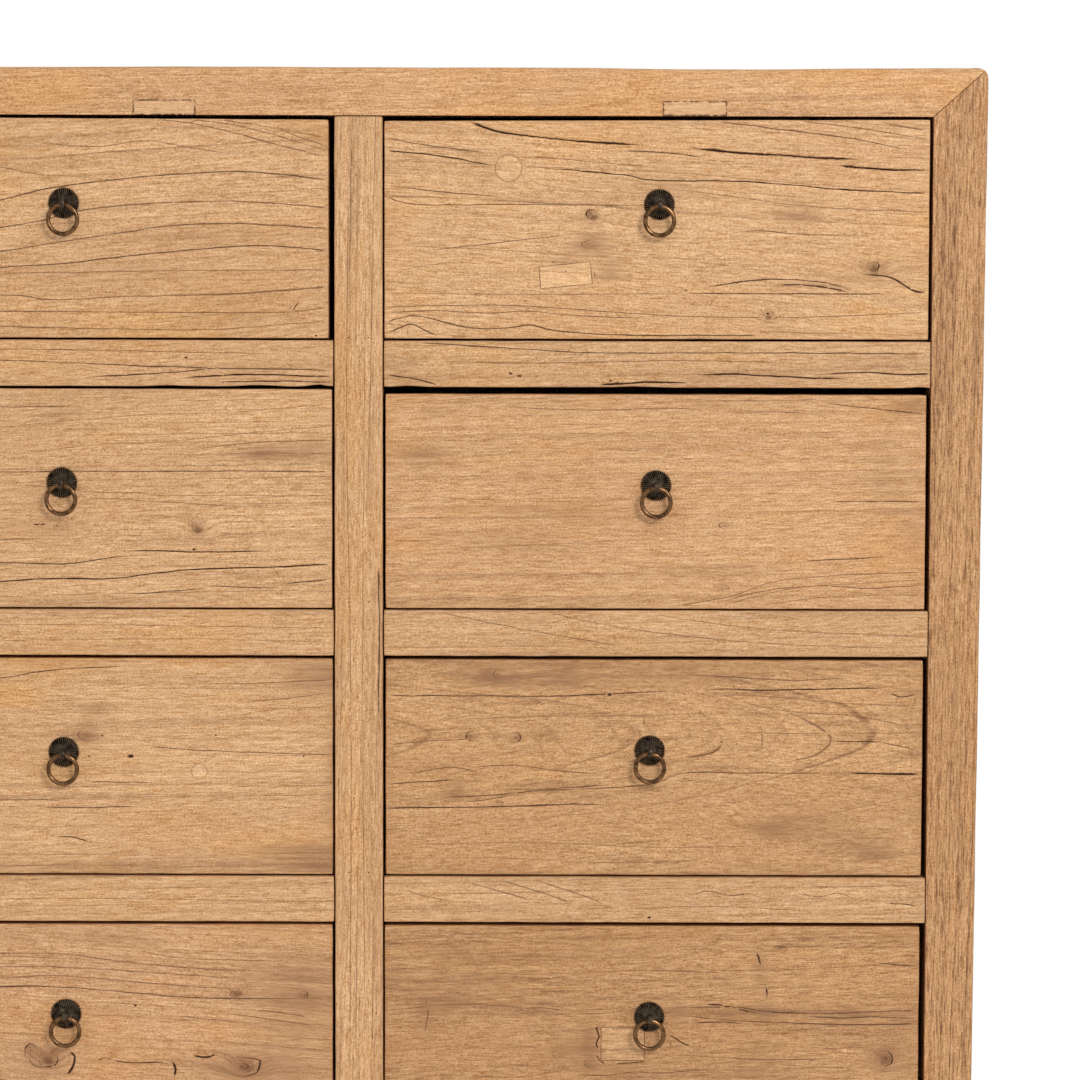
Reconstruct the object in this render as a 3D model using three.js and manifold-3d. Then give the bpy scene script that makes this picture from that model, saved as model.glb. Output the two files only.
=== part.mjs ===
// Apothecary cabinet of reclaimed elm: a mitred frame on four posts with two columns of four inset
// drawers. Each drawer has a fluted rosette with a split-pin eye that carries a free ring.
// Millimetres, +Z up, the drawers open towards -Y. The origin is the centre of the base of the
// cabinet's bounding box, with the pulls counted in.
import * as THREE from 'three';
import { ConvexGeometry } from 'three/addons/geometries/ConvexGeometry.js';
import { mergeVertices } from 'three/addons/utils/BufferGeometryUtils.js';
import Module from 'manifold-3d';

const wasm = await Module();
wasm.setup();

// ---- driving dimensions -------------------------------------------------------------------------

const WIDTH = 1000;               // across the posts at the top
const DEPTH = 400;                // front of the frame to back of the frame
const HEIGHT = 1020;
const FOOT_TAPER = 6;             // each post loses this much of its outer side towards the floor
const GAP = 0.3;                  // glue line or rest between two pieces

const POST_FACE = 43.5;           // post across the front, at the top
const POST_DEPTH = 40;
const TOP_RAIL = 39;              // height of the top rails, which the mitred corners follow
const CROSS_RAIL = 37.5;          // height of a rail between two drawers
const BOTTOM_RAIL = 39;
const STILE = 39;                 // centre stile across the front
const OPENING_HEIGHT = 178;       // clear height of each drawer opening
const ROWS = 4;
const TOP_ROUND = 9;              // rounding of the outer edges of the top
const POST_ROUND = 3;             // rounding of the outer edges of the posts
const ROUND_STEPS = 3;

const SIDE_RECESS = 6;            // side panels sit this far behind the faces of the posts
const SIDE_PANEL = 12;
const BACK_RECESS = 6;
const BACK_PANEL = 10;
const TOP_PANEL = 14;
const TOP_PANEL_DROP = 0.6;
const BOTTOM_PANEL = 8;
const BOTTOM_PANEL_LIFT = 4;      // above the lower edge of the bottom rails
const BOTTOM_SIDE_RAIL = 30;      // thickness of the bottom side rails

const RUNNER = 20;                // thickness of the runner frames
const RUNNER_REACH = 15;          // runner under each drawer side, measured into the opening
const RUNNER_GUIDE = 7.5;         // width of the strip that guides a drawer side
const GUIDE_HEIGHT = 15;
const REAR_BEARER = 30;

const FRONT_BOARD = 20;           // drawer front thickness
const DRAWER_BOARD = 12;          // drawer sides and back
const DRAWER_BOTTOM = 8;
const DRAWER_LENGTH = 362;        // front face to back of the drawer
const BOX_HEIGHT = 162;
const BOX_INSET = 1.2;            // drawer sides stand in from the ends of the front
const BOX_LIFT = 0.4;             // drawer sides above the runner
const BOTTOM_LIFT = 6;            // drawer bottom above the lower edge of the sides
const BACK_DROP = 12;             // drawer back is lower than the sides
const GROOVE = 4;                 // drawer bottom and back are let into the sides

const ROSETTE_RADIUS = 12.6;
const ROSETTE_RIM = 0.9;          // height of the rosette's edge
const ROSETTE_DOME = 4.5;         // height of the rosette at its centre
const ROSETTE_FACETS = 28;
const ROSETTE_RINGS = 4;
const EYE_OUTER = 4.2;            // split-pin eye, a flat strap bent round
const EYE_HOLE = 3.2;
const EYE_WIDTH = 3.8;
const EYE_REACH = 7.9;            // eye centre in front of the drawer front
const EYE_DROP = 0.8;             // eye centre below the rosette centre
const PIN_RADIUS = 2;             // the two legs of the split pin, together
const PIN_HOLE = 2.4;
const PIN_SIDES = 12;
const LEG_SPAN = 24;              // tip to tip of the legs, bent flat inside the drawer
const LEG_THICKNESS = 1.2;
const LEG_WIDTH = 3.4;
const RING_WIRE = 1.85;           // radius of the ring's wire
const RING_RADIUS = 11.45;        // radius of the ring's centre line
const RING_DROP = 0.95;           // the wire rests this far below the eye centre
const RING_SIDES = 10;
const RING_STEPS = 28;

// Old hand-fitted drawers: the gap on each side of a front, how far the front sits behind the
// frame, and where the rosette is from the middle of the opening (right, up).
const DRAWERS = {
  left_1: { left: 1.0, right: 4.0, topLeft: 1.6, topRight: 3.0, bottom: 1.0, recess: 1.0, pull: [3.9, 19.2] },
  left_2: { left: 1.0, right: 1.5, topLeft: 1.5, topRight: 1.5, bottom: 0.8, recess: 0.5, pull: [1.0, 12.2] },
  left_3: { left: 1.0, right: 1.2, topLeft: 2.0, topRight: 2.0, bottom: 0.8, recess: 2.5, pull: [0.8, 10.8] },
  left_4: { left: 1.0, right: 1.6, topLeft: 2.0, topRight: 2.0, bottom: 0.8, recess: 2.5, pull: [1.3, 13.4] },
  right_1: { left: 0.8, right: 2.4, topLeft: 4.0, topRight: 2.0, bottom: 1.0, recess: 0.5, pull: [1.2, 19.2] },
  right_2: { left: 1.6, right: 3.2, topLeft: 5.0, topRight: 5.0, bottom: 0.8, recess: 1.0, pull: [-0.4, 11.0] },
  right_3: { left: 1.6, right: 3.6, topLeft: 2.4, topRight: 2.4, bottom: 0.8, recess: 2.5, pull: [-4.5, 13.2] },
  right_4: { left: 0.8, right: 4.4, topLeft: 2.4, topRight: 2.4, bottom: 0.8, recess: 2.0, pull: [-3.8, 12.2] },
};

// ---- dimensions that follow ---------------------------------------------------------------------

const HALF = WIDTH / 2;
const POST_INNER = HALF - POST_FACE;
const STILE_HALF = STILE / 2;
const OPENING_WIDTH = POST_INNER - STILE_HALF;
const COLUMN_CENTRE = STILE_HALF + OPENING_WIDTH / 2;
const TOP_UNDERSIDE = HEIGHT - TOP_RAIL;
const ROW_PITCH = OPENING_HEIGHT + CROSS_RAIL;
const rowTop = (row) => TOP_UNDERSIDE - (row - 1) * ROW_PITCH;
const rowBottom = (row) => rowTop(row) - OPENING_HEIGHT;
const BASE_TOP = rowBottom(ROWS);
const BASE_UNDERSIDE = BASE_TOP - BOTTOM_RAIL;

const leastRecess = Math.min(...Object.values(DRAWERS).map((fit) => fit.recess));
const PULL_PROUD = GAP + EYE_REACH + EYE_OUTER - leastRecess;
const FRONT = (PULL_PROUD - DEPTH) / 2;
const BACK = FRONT + DEPTH;
const FRONT_INNER = FRONT + POST_DEPTH;
const BACK_INNER = BACK - POST_DEPTH;

// ---- materials ----------------------------------------------------------------------------------

const wood = (colour) => new THREE.MeshStandardMaterial({ color: colour, roughness: 0.62, metalness: 0 });
const metal = (colour, roughness) => (
  new THREE.MeshStandardMaterial({ color: colour, roughness, metalness: 1 }));
const FRAME_ELM = wood('#cd9c68');
const RAIL_ELM = wood('#d6a574');
const FRONT_ELM = wood('#cc9d6e');
const PANEL_ELM = wood('#c39361');
const INNER_WOOD = wood('#c9a987');
const BRONZE = metal('#4a3d31', 0.42);
const BRASS = metal('#7a5a3c', 0.32);

// ---- geometry helpers ---------------------------------------------------------------------------

function block(x, y, z) {
  const geometry = new THREE.BoxGeometry(x[1] - x[0], y[1] - y[0], z[1] - z[0]);
  return geometry.translate((x[0] + x[1]) / 2, (y[0] + y[1]) / 2, (z[0] + z[1]) / 2);
}

const points = (list) => list.map((p) => new THREE.Vector3(...p));
const hull = (list) => new ConvexGeometry(points(list));

// A closed solid through rings of points, listed counterclockwise from above, lowest ring first.
function loft(rings) {
  const count = rings[0].length;
  const position = rings.flat(2);
  const index = [];
  for (let level = 0; level < rings.length - 1; level += 1) {
    for (let i = 0; i < count; i += 1) {
      const a = level * count + i;
      const b = level * count + (i + 1) % count;
      index.push(a, b, b + count, a, b + count, a + count);
    }
  }
  const top = (rings.length - 1) * count;
  for (let i = 1; i < count - 1; i += 1) {
    index.push(0, i + 1, i, top, top + i, top + i + 1);
  }
  const geometry = new THREE.BufferGeometry();
  geometry.setAttribute('position', new THREE.Float32BufferAttribute(position, 3));
  geometry.setIndex(index);
  return geometry;
}

function toSolid(geometry) {
  const bare = geometry.clone();
  bare.deleteAttribute('normal');
  bare.deleteAttribute('uv');
  const merged = mergeVertices(bare, 1e-4);
  const corners = merged.index.array;
  const triangles = [];
  for (let i = 0; i < corners.length; i += 3) {
    const [a, b, c] = [corners[i], corners[i + 1], corners[i + 2]];
    if (a !== b && b !== c && c !== a) triangles.push(a, b, c);
  }
  return new wasm.Manifold(new wasm.Mesh({
    numProp: 3,
    vertProperties: new Float32Array(merged.attributes.position.array),
    triVerts: new Uint32Array(triangles),
  }));
}

function toGeometry(solid) {
  const mesh = solid.getMesh();
  const geometry = new THREE.BufferGeometry();
  geometry.setAttribute('position', new THREE.BufferAttribute(mesh.vertProperties, 3));
  geometry.setIndex(new THREE.BufferAttribute(mesh.triVerts, 1));
  geometry.computeVertexNormals();
  return geometry;
}

const join = (...shapes) => toGeometry(shapes.map(toSolid).reduce((sum, shape) => sum.add(shape)));
const common = (a, b) => toGeometry(toSolid(a).intersect(toSolid(b)));
const cut = (a, b) => toGeometry(toSolid(a).subtract(toSolid(b)));

const cabinet = new THREE.Group();

function add(parent, name, geometry, material) {
  const mesh = new THREE.Mesh(geometry, material);
  mesh.name = name;
  parent.add(mesh);
  return mesh;
}

// ---- outer form ---------------------------------------------------------------------------------

// The whole outer form, with tapered sides and rounded edges. The frame members are cut out of it,
// so their faces are flush with each other.
const halfWidthAt = (z) => HALF - FOOT_TAPER * Math.max(0, 1 - z / (HEIGHT - TOP_ROUND));

function outlineAt(z, inset) {
  const halfX = halfWidthAt(z) - inset;
  const halfY = DEPTH / 2 - inset;
  const radius = Math.max(POST_ROUND - inset, 0.4);
  const centreY = (FRONT + BACK) / 2;
  const outline = [];
  [[1, 1], [-1, 1], [-1, -1], [1, -1]].forEach(([sideX, sideY], quarter) => {
    for (let i = 0; i <= 2; i += 1) {
      const angle = (quarter + i / 2) * Math.PI / 2;
      outline.push([
        sideX * (halfX - radius) + radius * Math.cos(angle),
        centreY + sideY * (halfY - radius) + radius * Math.sin(angle),
        z,
      ]);
    }
  });
  return outline;
}

function outerForm() {
  const rings = [outlineAt(0, 0)];
  for (let i = 0; i <= ROUND_STEPS; i += 1) {
    const angle = i / ROUND_STEPS * Math.PI / 2;
    const z = HEIGHT - TOP_ROUND * (1 - Math.sin(angle));
    rings.push(outlineAt(z, TOP_ROUND * (1 - Math.cos(angle))));
  }
  return loft(rings);
}

const OUTER = outerForm();

// ---- mitred frame -------------------------------------------------------------------------------

// Where the two top rails and the post meet, each takes the part of the corner block in which the
// distance along its own length is the greatest share of the block. p, q and r are those shares,
// along X, Y and Z, and are 0 on the outer faces.
function cornerPoint(sideX, sideY, p, q, r) {
  return [
    sideX * (HALF - POST_FACE * p),
    sideY < 0 ? FRONT + POST_DEPTH * q : BACK - POST_DEPTH * q,
    HEIGHT - TOP_RAIL * r,
  ];
}

const MITRE_OUT = -0.4;                                   // regions run past the outer form
const MITRE_SHIFT = GAP / Math.SQRT2;                     // half the glue line, square to the mitre
const FACES = [[MITRE_OUT, MITRE_OUT], [1, MITRE_OUT], [MITRE_OUT, 1], [1, 1]];

function topRailAlongX(sideY) {
  const shift = MITRE_SHIFT / POST_FACE;
  const list = [-1, 1].flatMap((sideX) => [
    cornerPoint(sideX, sideY, MITRE_OUT + shift, MITRE_OUT, MITRE_OUT),
    ...FACES.map(([q, r]) => cornerPoint(sideX, sideY, 1 + shift, q, r)),
  ]);
  return common(hull(list), OUTER);
}

function topRailAlongY(sideX) {
  const shift = MITRE_SHIFT / POST_DEPTH;
  const list = [-1, 1].flatMap((sideY) => [
    cornerPoint(sideX, sideY, MITRE_OUT, MITRE_OUT + shift, MITRE_OUT),
    ...FACES.map(([p, r]) => cornerPoint(sideX, sideY, p, 1 + shift, r)),
  ]);
  return common(hull(list), OUTER);
}

function post(sideX, sideY) {
  const shift = MITRE_SHIFT / TOP_RAIL;
  const floor = (HEIGHT + POST_FACE) / TOP_RAIL;
  const list = [
    cornerPoint(sideX, sideY, MITRE_OUT, MITRE_OUT, MITRE_OUT + shift),
    ...FACES.map(([p, q]) => cornerPoint(sideX, sideY, p, q, 1 + shift)),
    ...FACES.map(([p, q]) => cornerPoint(sideX, sideY, p, q, floor)),
  ];
  return common(hull(list), OUTER);
}

function buildFrame(parent) {
  const sides = [['left', -1], ['right', 1]];
  const ends = [['front', -1], ['back', 1]];
  ends.forEach(([end, sideY]) => {
    sides.forEach(([side, sideX]) => {
      add(parent, `${end}_${side}_post`, post(sideX, sideY), FRAME_ELM);
    });
    add(parent, `top_${end}_rail`, topRailAlongX(sideY), RAIL_ELM);
    const railY = sideY < 0 ? [FRONT, FRONT_INNER] : [BACK_INNER, BACK];
    const railX = [-POST_INNER + GAP, POST_INNER - GAP];
    add(parent, `bottom_${end}_rail`, block(railX, railY, [BASE_UNDERSIDE, BASE_TOP]), RAIL_ELM);
  });
  sides.forEach(([side, sideX]) => {
    add(parent, `top_${side}_rail`, topRailAlongY(sideX), RAIL_ELM);
    const inner = halfWidthAt(BASE_UNDERSIDE) - BOTTOM_SIDE_RAIL;
    const railX = sideX < 0 ? [-HALF - 1, -inner] : [inner, HALF + 1];
    const railY = [FRONT_INNER + GAP, BACK_INNER - GAP];
    const rail = common(block(railX, railY, [BASE_UNDERSIDE, BASE_TOP]), OUTER);
    add(parent, `bottom_${side}_rail`, rail, RAIL_ELM);
  });
}

function buildPartitions(parent) {
  const y = [FRONT, FRONT_INNER];
  const stileZ = [BASE_TOP + GAP, TOP_UNDERSIDE - GAP];
  add(parent, 'centre_stile', block([-STILE_HALF, STILE_HALF], y, stileZ), FRAME_ELM);
  for (let row = 1; row < ROWS; row += 1) {
    const z = [rowTop(row + 1), rowBottom(row)];
    const near = STILE_HALF + GAP;
    const far = POST_INNER - GAP;
    add(parent, `left_cross_rail_${row}`, block([-far, -near], y, z), RAIL_ELM);
    add(parent, `right_cross_rail_${row}`, block([near, far], y, z), RAIL_ELM);
  }
}

// ---- panels -------------------------------------------------------------------------------------

function sidePanel(sideX) {
  const list = [];
  [BASE_TOP + GAP, TOP_UNDERSIDE - GAP].forEach((z) => {
    [FRONT_INNER + GAP, BACK_INNER - GAP].forEach((y) => {
      [SIDE_RECESS, SIDE_RECESS + SIDE_PANEL].forEach((depth) => {
        list.push([sideX * (halfWidthAt(z) - depth), y, z]);
      });
    });
  });
  return hull(list);
}

function buildPanels(parent) {
  const x = [-POST_INNER + GAP, POST_INNER - GAP];
  const y = [FRONT_INNER + GAP, BACK_INNER - GAP];
  const z = [BASE_TOP + GAP, TOP_UNDERSIDE - GAP];
  const topZ = [HEIGHT - TOP_PANEL_DROP - TOP_PANEL, HEIGHT - TOP_PANEL_DROP];
  const backY = [BACK - BACK_RECESS - BACK_PANEL, BACK - BACK_RECESS];
  const lowZ = BASE_UNDERSIDE + BOTTOM_PANEL_LIFT;
  const lowHalf = halfWidthAt(BASE_UNDERSIDE) - BOTTOM_SIDE_RAIL - GAP;
  add(parent, 'top_panel', block(x, y, topZ), PANEL_ELM);
  add(parent, 'left_side_panel', sidePanel(-1), PANEL_ELM);
  add(parent, 'right_side_panel', sidePanel(1), PANEL_ELM);
  add(parent, 'back_panel', block(x, backY, z), PANEL_ELM);
  const bottom = block([-lowHalf, lowHalf], y, [lowZ, lowZ + BOTTOM_PANEL]);
  add(parent, 'bottom_panel', bottom, INNER_WOOD);
}

// ---- runner frames ------------------------------------------------------------------------------

// Three runners and a rear bearer under one row, with strips that keep the drawers square.
function runnerFrame(row) {
  const top = rowBottom(row);
  const y = [FRONT_INNER + GAP, BACK_INNER - GAP];
  const runnerZ = [top - RUNNER, top];
  const guideZ = [top - RUNNER / 2, top + GUIDE_HEIGHT];
  const outer = POST_INNER + RUNNER_GUIDE;
  const inner = POST_INNER - RUNNER_REACH - BOX_INSET;
  const middle = STILE_HALF + RUNNER_REACH + BOX_INSET;
  return join(
    block([-outer, outer], [y[1] - REAR_BEARER, y[1]], runnerZ),
    block([-outer, -inner], y, runnerZ),
    block([inner, outer], y, runnerZ),
    block([-middle, middle], y, runnerZ),
    block([-outer, -POST_INNER], y, guideZ),
    block([POST_INNER, outer], y, guideZ),
    block([-STILE_HALF, STILE_HALF], y, guideZ),
  );
}

// ---- drawers ------------------------------------------------------------------------------------

function drawerFront(x, z, fit, face) {
  const y = [face, face + FRONT_BOARD];
  const left = x[0] + fit.left;
  const right = x[1] - fit.right;
  const board = hull(y.flatMap((depth) => [
    [left, depth, z[0] + fit.bottom],
    [right, depth, z[0] + fit.bottom],
    [left, depth, z[1] - fit.topLeft],
    [right, depth, z[1] - fit.topRight],
  ]));
  const hole = new THREE.CylinderGeometry(PIN_HOLE, PIN_HOLE, FRONT_BOARD * 2, PIN_SIDES);
  const [pullX, pullZ] = [(x[0] + x[1]) / 2 + fit.pull[0], (z[0] + z[1]) / 2 + fit.pull[1]];
  hole.translate(pullX, face + FRONT_BOARD / 2, pullZ - EYE_DROP);
  return cut(board, hole);
}

// Two sides, a back between them and a bottom in their grooves. The front closes the fourth side.
function drawerBox(x, z, fit, face) {
  const left = x[0] + fit.left + BOX_INSET;
  const right = x[1] - fit.right - BOX_INSET;
  const near = face + FRONT_BOARD + GAP;
  const far = face + DRAWER_LENGTH;
  const low = z[0] + BOX_LIFT;
  const high = low + BOX_HEIGHT;
  const between = [left + DRAWER_BOARD - GROOVE, right - DRAWER_BOARD + GROOVE];
  const bottomZ = [low + BOTTOM_LIFT, low + BOTTOM_LIFT + DRAWER_BOTTOM];
  return join(
    block([left, left + DRAWER_BOARD], [near, far], [low, high]),
    block([right - DRAWER_BOARD, right], [near, far], [low, high]),
    block(between, [far - DRAWER_BOARD, far], [low + BOTTOM_LIFT, high - BACK_DROP]),
    block(between, [near, far - GROOVE], bottomZ),
  );
}

// Fluted dome and split pin. Local frame: the drawer's face is the plane y = 0 and the rosette's
// centre is the origin.
function rosette() {
  const profile = [new THREE.Vector2(0, 0), new THREE.Vector2(ROSETTE_RADIUS, 0)];
  for (let i = 0; i <= ROSETTE_RINGS; i += 1) {
    const share = 1 - i / ROSETTE_RINGS;
    const rise = (ROSETTE_DOME - ROSETTE_RIM) * (1 - share * share);
    profile.push(new THREE.Vector2(ROSETTE_RADIUS * share, ROSETTE_RIM + rise));
  }
  const dome = new THREE.LatheGeometry(profile, ROSETTE_FACETS);
  dome.rotateX(Math.PI);

  const ring = new THREE.Shape().absarc(0, 0, EYE_OUTER, 0, Math.PI * 2);
  ring.holes.push(new THREE.Path().absarc(0, 0, EYE_HOLE, 0, Math.PI * 2, true));
  const eye = new THREE.ExtrudeGeometry(ring, { depth: EYE_WIDTH, bevelEnabled: false, curveSegments: 8 });
  eye.translate(0, 0, -EYE_WIDTH / 2);
  eye.rotateY(Math.PI / 2);
  eye.translate(0, -EYE_REACH, -EYE_DROP);

  const pinEnd = FRONT_BOARD + GAP + LEG_THICKNESS;
  const pin = new THREE.CylinderGeometry(PIN_RADIUS, PIN_RADIUS, pinEnd + 2, PIN_SIDES);
  pin.translate(0, pinEnd / 2 - 1, -EYE_DROP);
  const legY = [FRONT_BOARD + GAP, pinEnd];
  const legZ = [-EYE_DROP - LEG_SPAN / 2, -EYE_DROP + LEG_SPAN / 2];
  const legs = block([-LEG_WIDTH / 2, LEG_WIDTH / 2], legY, legZ);
  return join(dome, eye, pin, legs);
}

// The ring hangs from the origin, which is the middle of its wire at the top.
function pullRing() {
  const torus = new THREE.TorusGeometry(RING_RADIUS, RING_WIRE, RING_SIDES, RING_STEPS);
  return torus.rotateX(Math.PI / 2).translate(0, 0, -RING_RADIUS);
}

function buildDrawer(parent, side, row) {
  const fit = DRAWERS[`${side}_${row}`];
  const centre = side === 'left' ? -COLUMN_CENTRE : COLUMN_CENTRE;
  const x = [centre - OPENING_WIDTH / 2, centre + OPENING_WIDTH / 2];
  const z = [rowBottom(row), rowTop(row)];
  const face = FRONT + fit.recess;
  const name = `drawer_${side}_${row}`;
  const drawer = new THREE.Group();
  parent.add(drawer);
  add(drawer, `${name}_front`, drawerFront(x, z, fit, face), FRONT_ELM);
  add(drawer, `${name}_box`, drawerBox(x, z, fit, face), INNER_WOOD);

  const pull = new THREE.Group();
  pull.position.set(centre + fit.pull[0], face - GAP, (z[0] + z[1]) / 2 + fit.pull[1]);
  drawer.add(pull);
  add(pull, `${name}_rosette`, rosette(), BRONZE);
  const ring = add(pull, `${name}_ring`, pullRing(), BRASS);
  ring.position.set(0, -EYE_REACH, -EYE_DROP - RING_DROP);
}

// ---- assembly -----------------------------------------------------------------------------------

buildFrame(cabinet);
buildPartitions(cabinet);
buildPanels(cabinet);
for (let row = 1; row <= ROWS; row += 1) {
  add(cabinet, `runner_frame_${row}`, runnerFrame(row), INNER_WOOD);
  buildDrawer(cabinet, 'left', row);
  buildDrawer(cabinet, 'right', row);
}

export default cabinet;
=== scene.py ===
"""Looks of a small apothecary cabinet in reclaimed elm, built around its fixed frame."""
import math
import bmesh
import bpy
from mathutils import Matrix, Vector, noise
from mathutils.geometry import delaunay_2d_cdt


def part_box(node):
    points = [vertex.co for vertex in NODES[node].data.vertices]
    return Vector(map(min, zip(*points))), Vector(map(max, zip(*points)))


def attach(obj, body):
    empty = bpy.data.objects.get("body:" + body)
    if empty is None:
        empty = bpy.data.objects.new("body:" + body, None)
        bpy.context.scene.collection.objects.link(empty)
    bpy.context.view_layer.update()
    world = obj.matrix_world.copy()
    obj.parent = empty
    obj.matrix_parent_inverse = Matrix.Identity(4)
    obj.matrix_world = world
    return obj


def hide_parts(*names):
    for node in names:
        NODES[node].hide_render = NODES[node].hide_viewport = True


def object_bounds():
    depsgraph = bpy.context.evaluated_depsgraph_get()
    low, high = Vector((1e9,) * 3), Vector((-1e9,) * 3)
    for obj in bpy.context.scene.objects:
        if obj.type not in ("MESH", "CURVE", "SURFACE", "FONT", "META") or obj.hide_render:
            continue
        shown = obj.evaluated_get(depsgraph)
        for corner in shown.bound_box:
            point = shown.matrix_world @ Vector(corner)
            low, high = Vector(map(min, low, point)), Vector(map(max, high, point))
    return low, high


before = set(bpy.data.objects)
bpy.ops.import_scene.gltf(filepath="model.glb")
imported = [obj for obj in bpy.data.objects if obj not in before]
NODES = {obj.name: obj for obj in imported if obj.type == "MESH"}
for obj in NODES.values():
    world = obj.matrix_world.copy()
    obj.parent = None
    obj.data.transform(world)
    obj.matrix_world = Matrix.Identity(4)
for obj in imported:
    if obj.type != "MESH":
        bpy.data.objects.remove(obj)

bl_info = {
    "name": "Elm Apothecary Cabinet",
    "version": (1, 0, 0),
    "blender": (4, 5, 0),
    "location": "View3D > Sidebar > Cabinet",
    "description": "Builds the boards, drawers and ring pulls of an old elm cabinet",
    "category": "Add Mesh",
}

MM = 0.001
CAD_LOW, CAD_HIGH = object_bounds()
ROWS = (1, 2, 3, 4)
SIDES = ("left", "right")
DRAWERS = [f"drawer_{side}_{row}" for row in ROWS for side in SIDES]


def centre_of(node):
    """The middle of a node of the frame."""
    low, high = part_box(node)
    return (low + high) / 2


FRONT_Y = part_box("centre_stile")[0].y
BACK_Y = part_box("back_left_post")[1].y
HEIGHT = CAD_HIGH.z
POST_INNER = -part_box("front_left_post")[1].x
TOP_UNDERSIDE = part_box("top_front_rail")[0].z
GLUE_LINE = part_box("bottom_front_rail")[0].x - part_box("front_left_post")[1].x
FOOT_HALF_WIDTH = max(v.co.x for v in NODES["front_right_post"].data.vertices if v.co.z < 1 * MM)


# ---- sizes and colours a user would change ----

def colour_prop(name, description, default):
    return bpy.props.FloatVectorProperty(
        name=name, description=description, subtype="COLOR", size=3, min=0, max=1, default=default)


def length_prop(name, description, default):
    return bpy.props.FloatProperty(
        name=name, description=description, default=default, min=0, unit="LENGTH", subtype="DISTANCE")


class CabinetSizes(bpy.types.PropertyGroup):
    arris: length_prop("Arris", "Worn rounding along the edges of the frame", 0.0011)
    front_arris: length_prop("Front arris", "Worn rounding around a drawer front", 0.0009)
    top_round: length_prop("Top rounding", "Rounding of the outer edges of the top", 0.009)
    post_round: length_prop("Post rounding", "Rounding of the outer edges of the posts", 0.003)
    wobble: length_prop("Wobble", "How far hand-planed edges wander inwards", 0.0005)
    hollow: length_prop("Hollow", "How far the faces of the fronts dip", 0.00025)
    flutes: bpy.props.IntProperty(
        name="Flutes", description="Flutes around a rosette", default=38, min=12, max=80)
    flute_depth: length_prop("Flute depth", "Depth of a flute at the rosette's rim", 0.0012)


class CabinetFinishes(bpy.types.PropertyGroup):
    elm_light: colour_prop("Elm, light", "Colour between the grain lines", (0.82, 0.480, 0.234))
    elm_dark: colour_prop("Elm, dark", "Colour of the grain lines", (0.205, 0.086, 0.033))
    blush: colour_prop("Blush", "Colour of the pinkish patches", (0.68, 0.376, 0.178))
    stain: colour_prop("Stain", "Colour of the old stains", (0.345, 0.170, 0.075))
    amber: colour_prop("Amber", "Colour of the warm patches", (0.735, 0.376, 0.126))
    inner_light: colour_prop(
        "Inner wood, light", "Colour of the unfinished inner boards", (0.66, 0.49, 0.31))
    inner_dark: colour_prop("Inner wood, dark", "Grain of the unfinished inner boards", (0.42, 0.27, 0.15))
    # Dirt and painted shade: near black for the depths of splits, holes, knots and joints.
    dirt: colour_prop("Dirt", "Colour at the bottom of splits and gaps", (0.040, 0.016, 0.007))
    bronze: colour_prop("Bronze", "Dark patina of the rosettes", (0.026, 0.018, 0.012))
    bronze_worn: colour_prop("Bronze, worn", "Rubbed ridges of the rosettes", (0.30, 0.23, 0.16))
    brass: colour_prop("Brass", "Aged brass of the rings", (0.070, 0.037, 0.017))
    brass_worn: colour_prop("Brass, worn", "Rubbed parts of the rings", (0.32, 0.168, 0.076))
    floor: colour_prop("Floor", "Colour of the studio floor", (0.90, 0.90, 0.895))


class StudioSettings(bpy.types.PropertyGroup):
    lens: bpy.props.FloatProperty(
        name="Lens", description="Focal length of the camera", default=125.4, min=10, unit="CAMERA")
    distance: length_prop("Distance", "From the camera to the point that it looks at", 3.008)
    pitch: bpy.props.FloatProperty(
        name="Pitch", description="How far the camera looks down", subtype="ANGLE",
        default=math.radians(4.23))
    roll: bpy.props.FloatProperty(
        name="Roll", description="How far the camera leans to its left", subtype="ANGLE",
        default=math.radians(0.15))
    aim: bpy.props.FloatVectorProperty(
        name="Aim", description="Point of the front that the camera looks at, right and up",
        size=2, subtype="TRANSLATION", default=(0.145, 0.6437))
    key: bpy.props.FloatProperty(
        name="Key light", description="Power of the soft light from the upper right", default=62, min=0,
        unit="POWER")
    sky: bpy.props.FloatProperty(
        name="Surround", description="Strength of the even light from all sides", default=0.62, min=0)


# ---- shader trees ----

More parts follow.
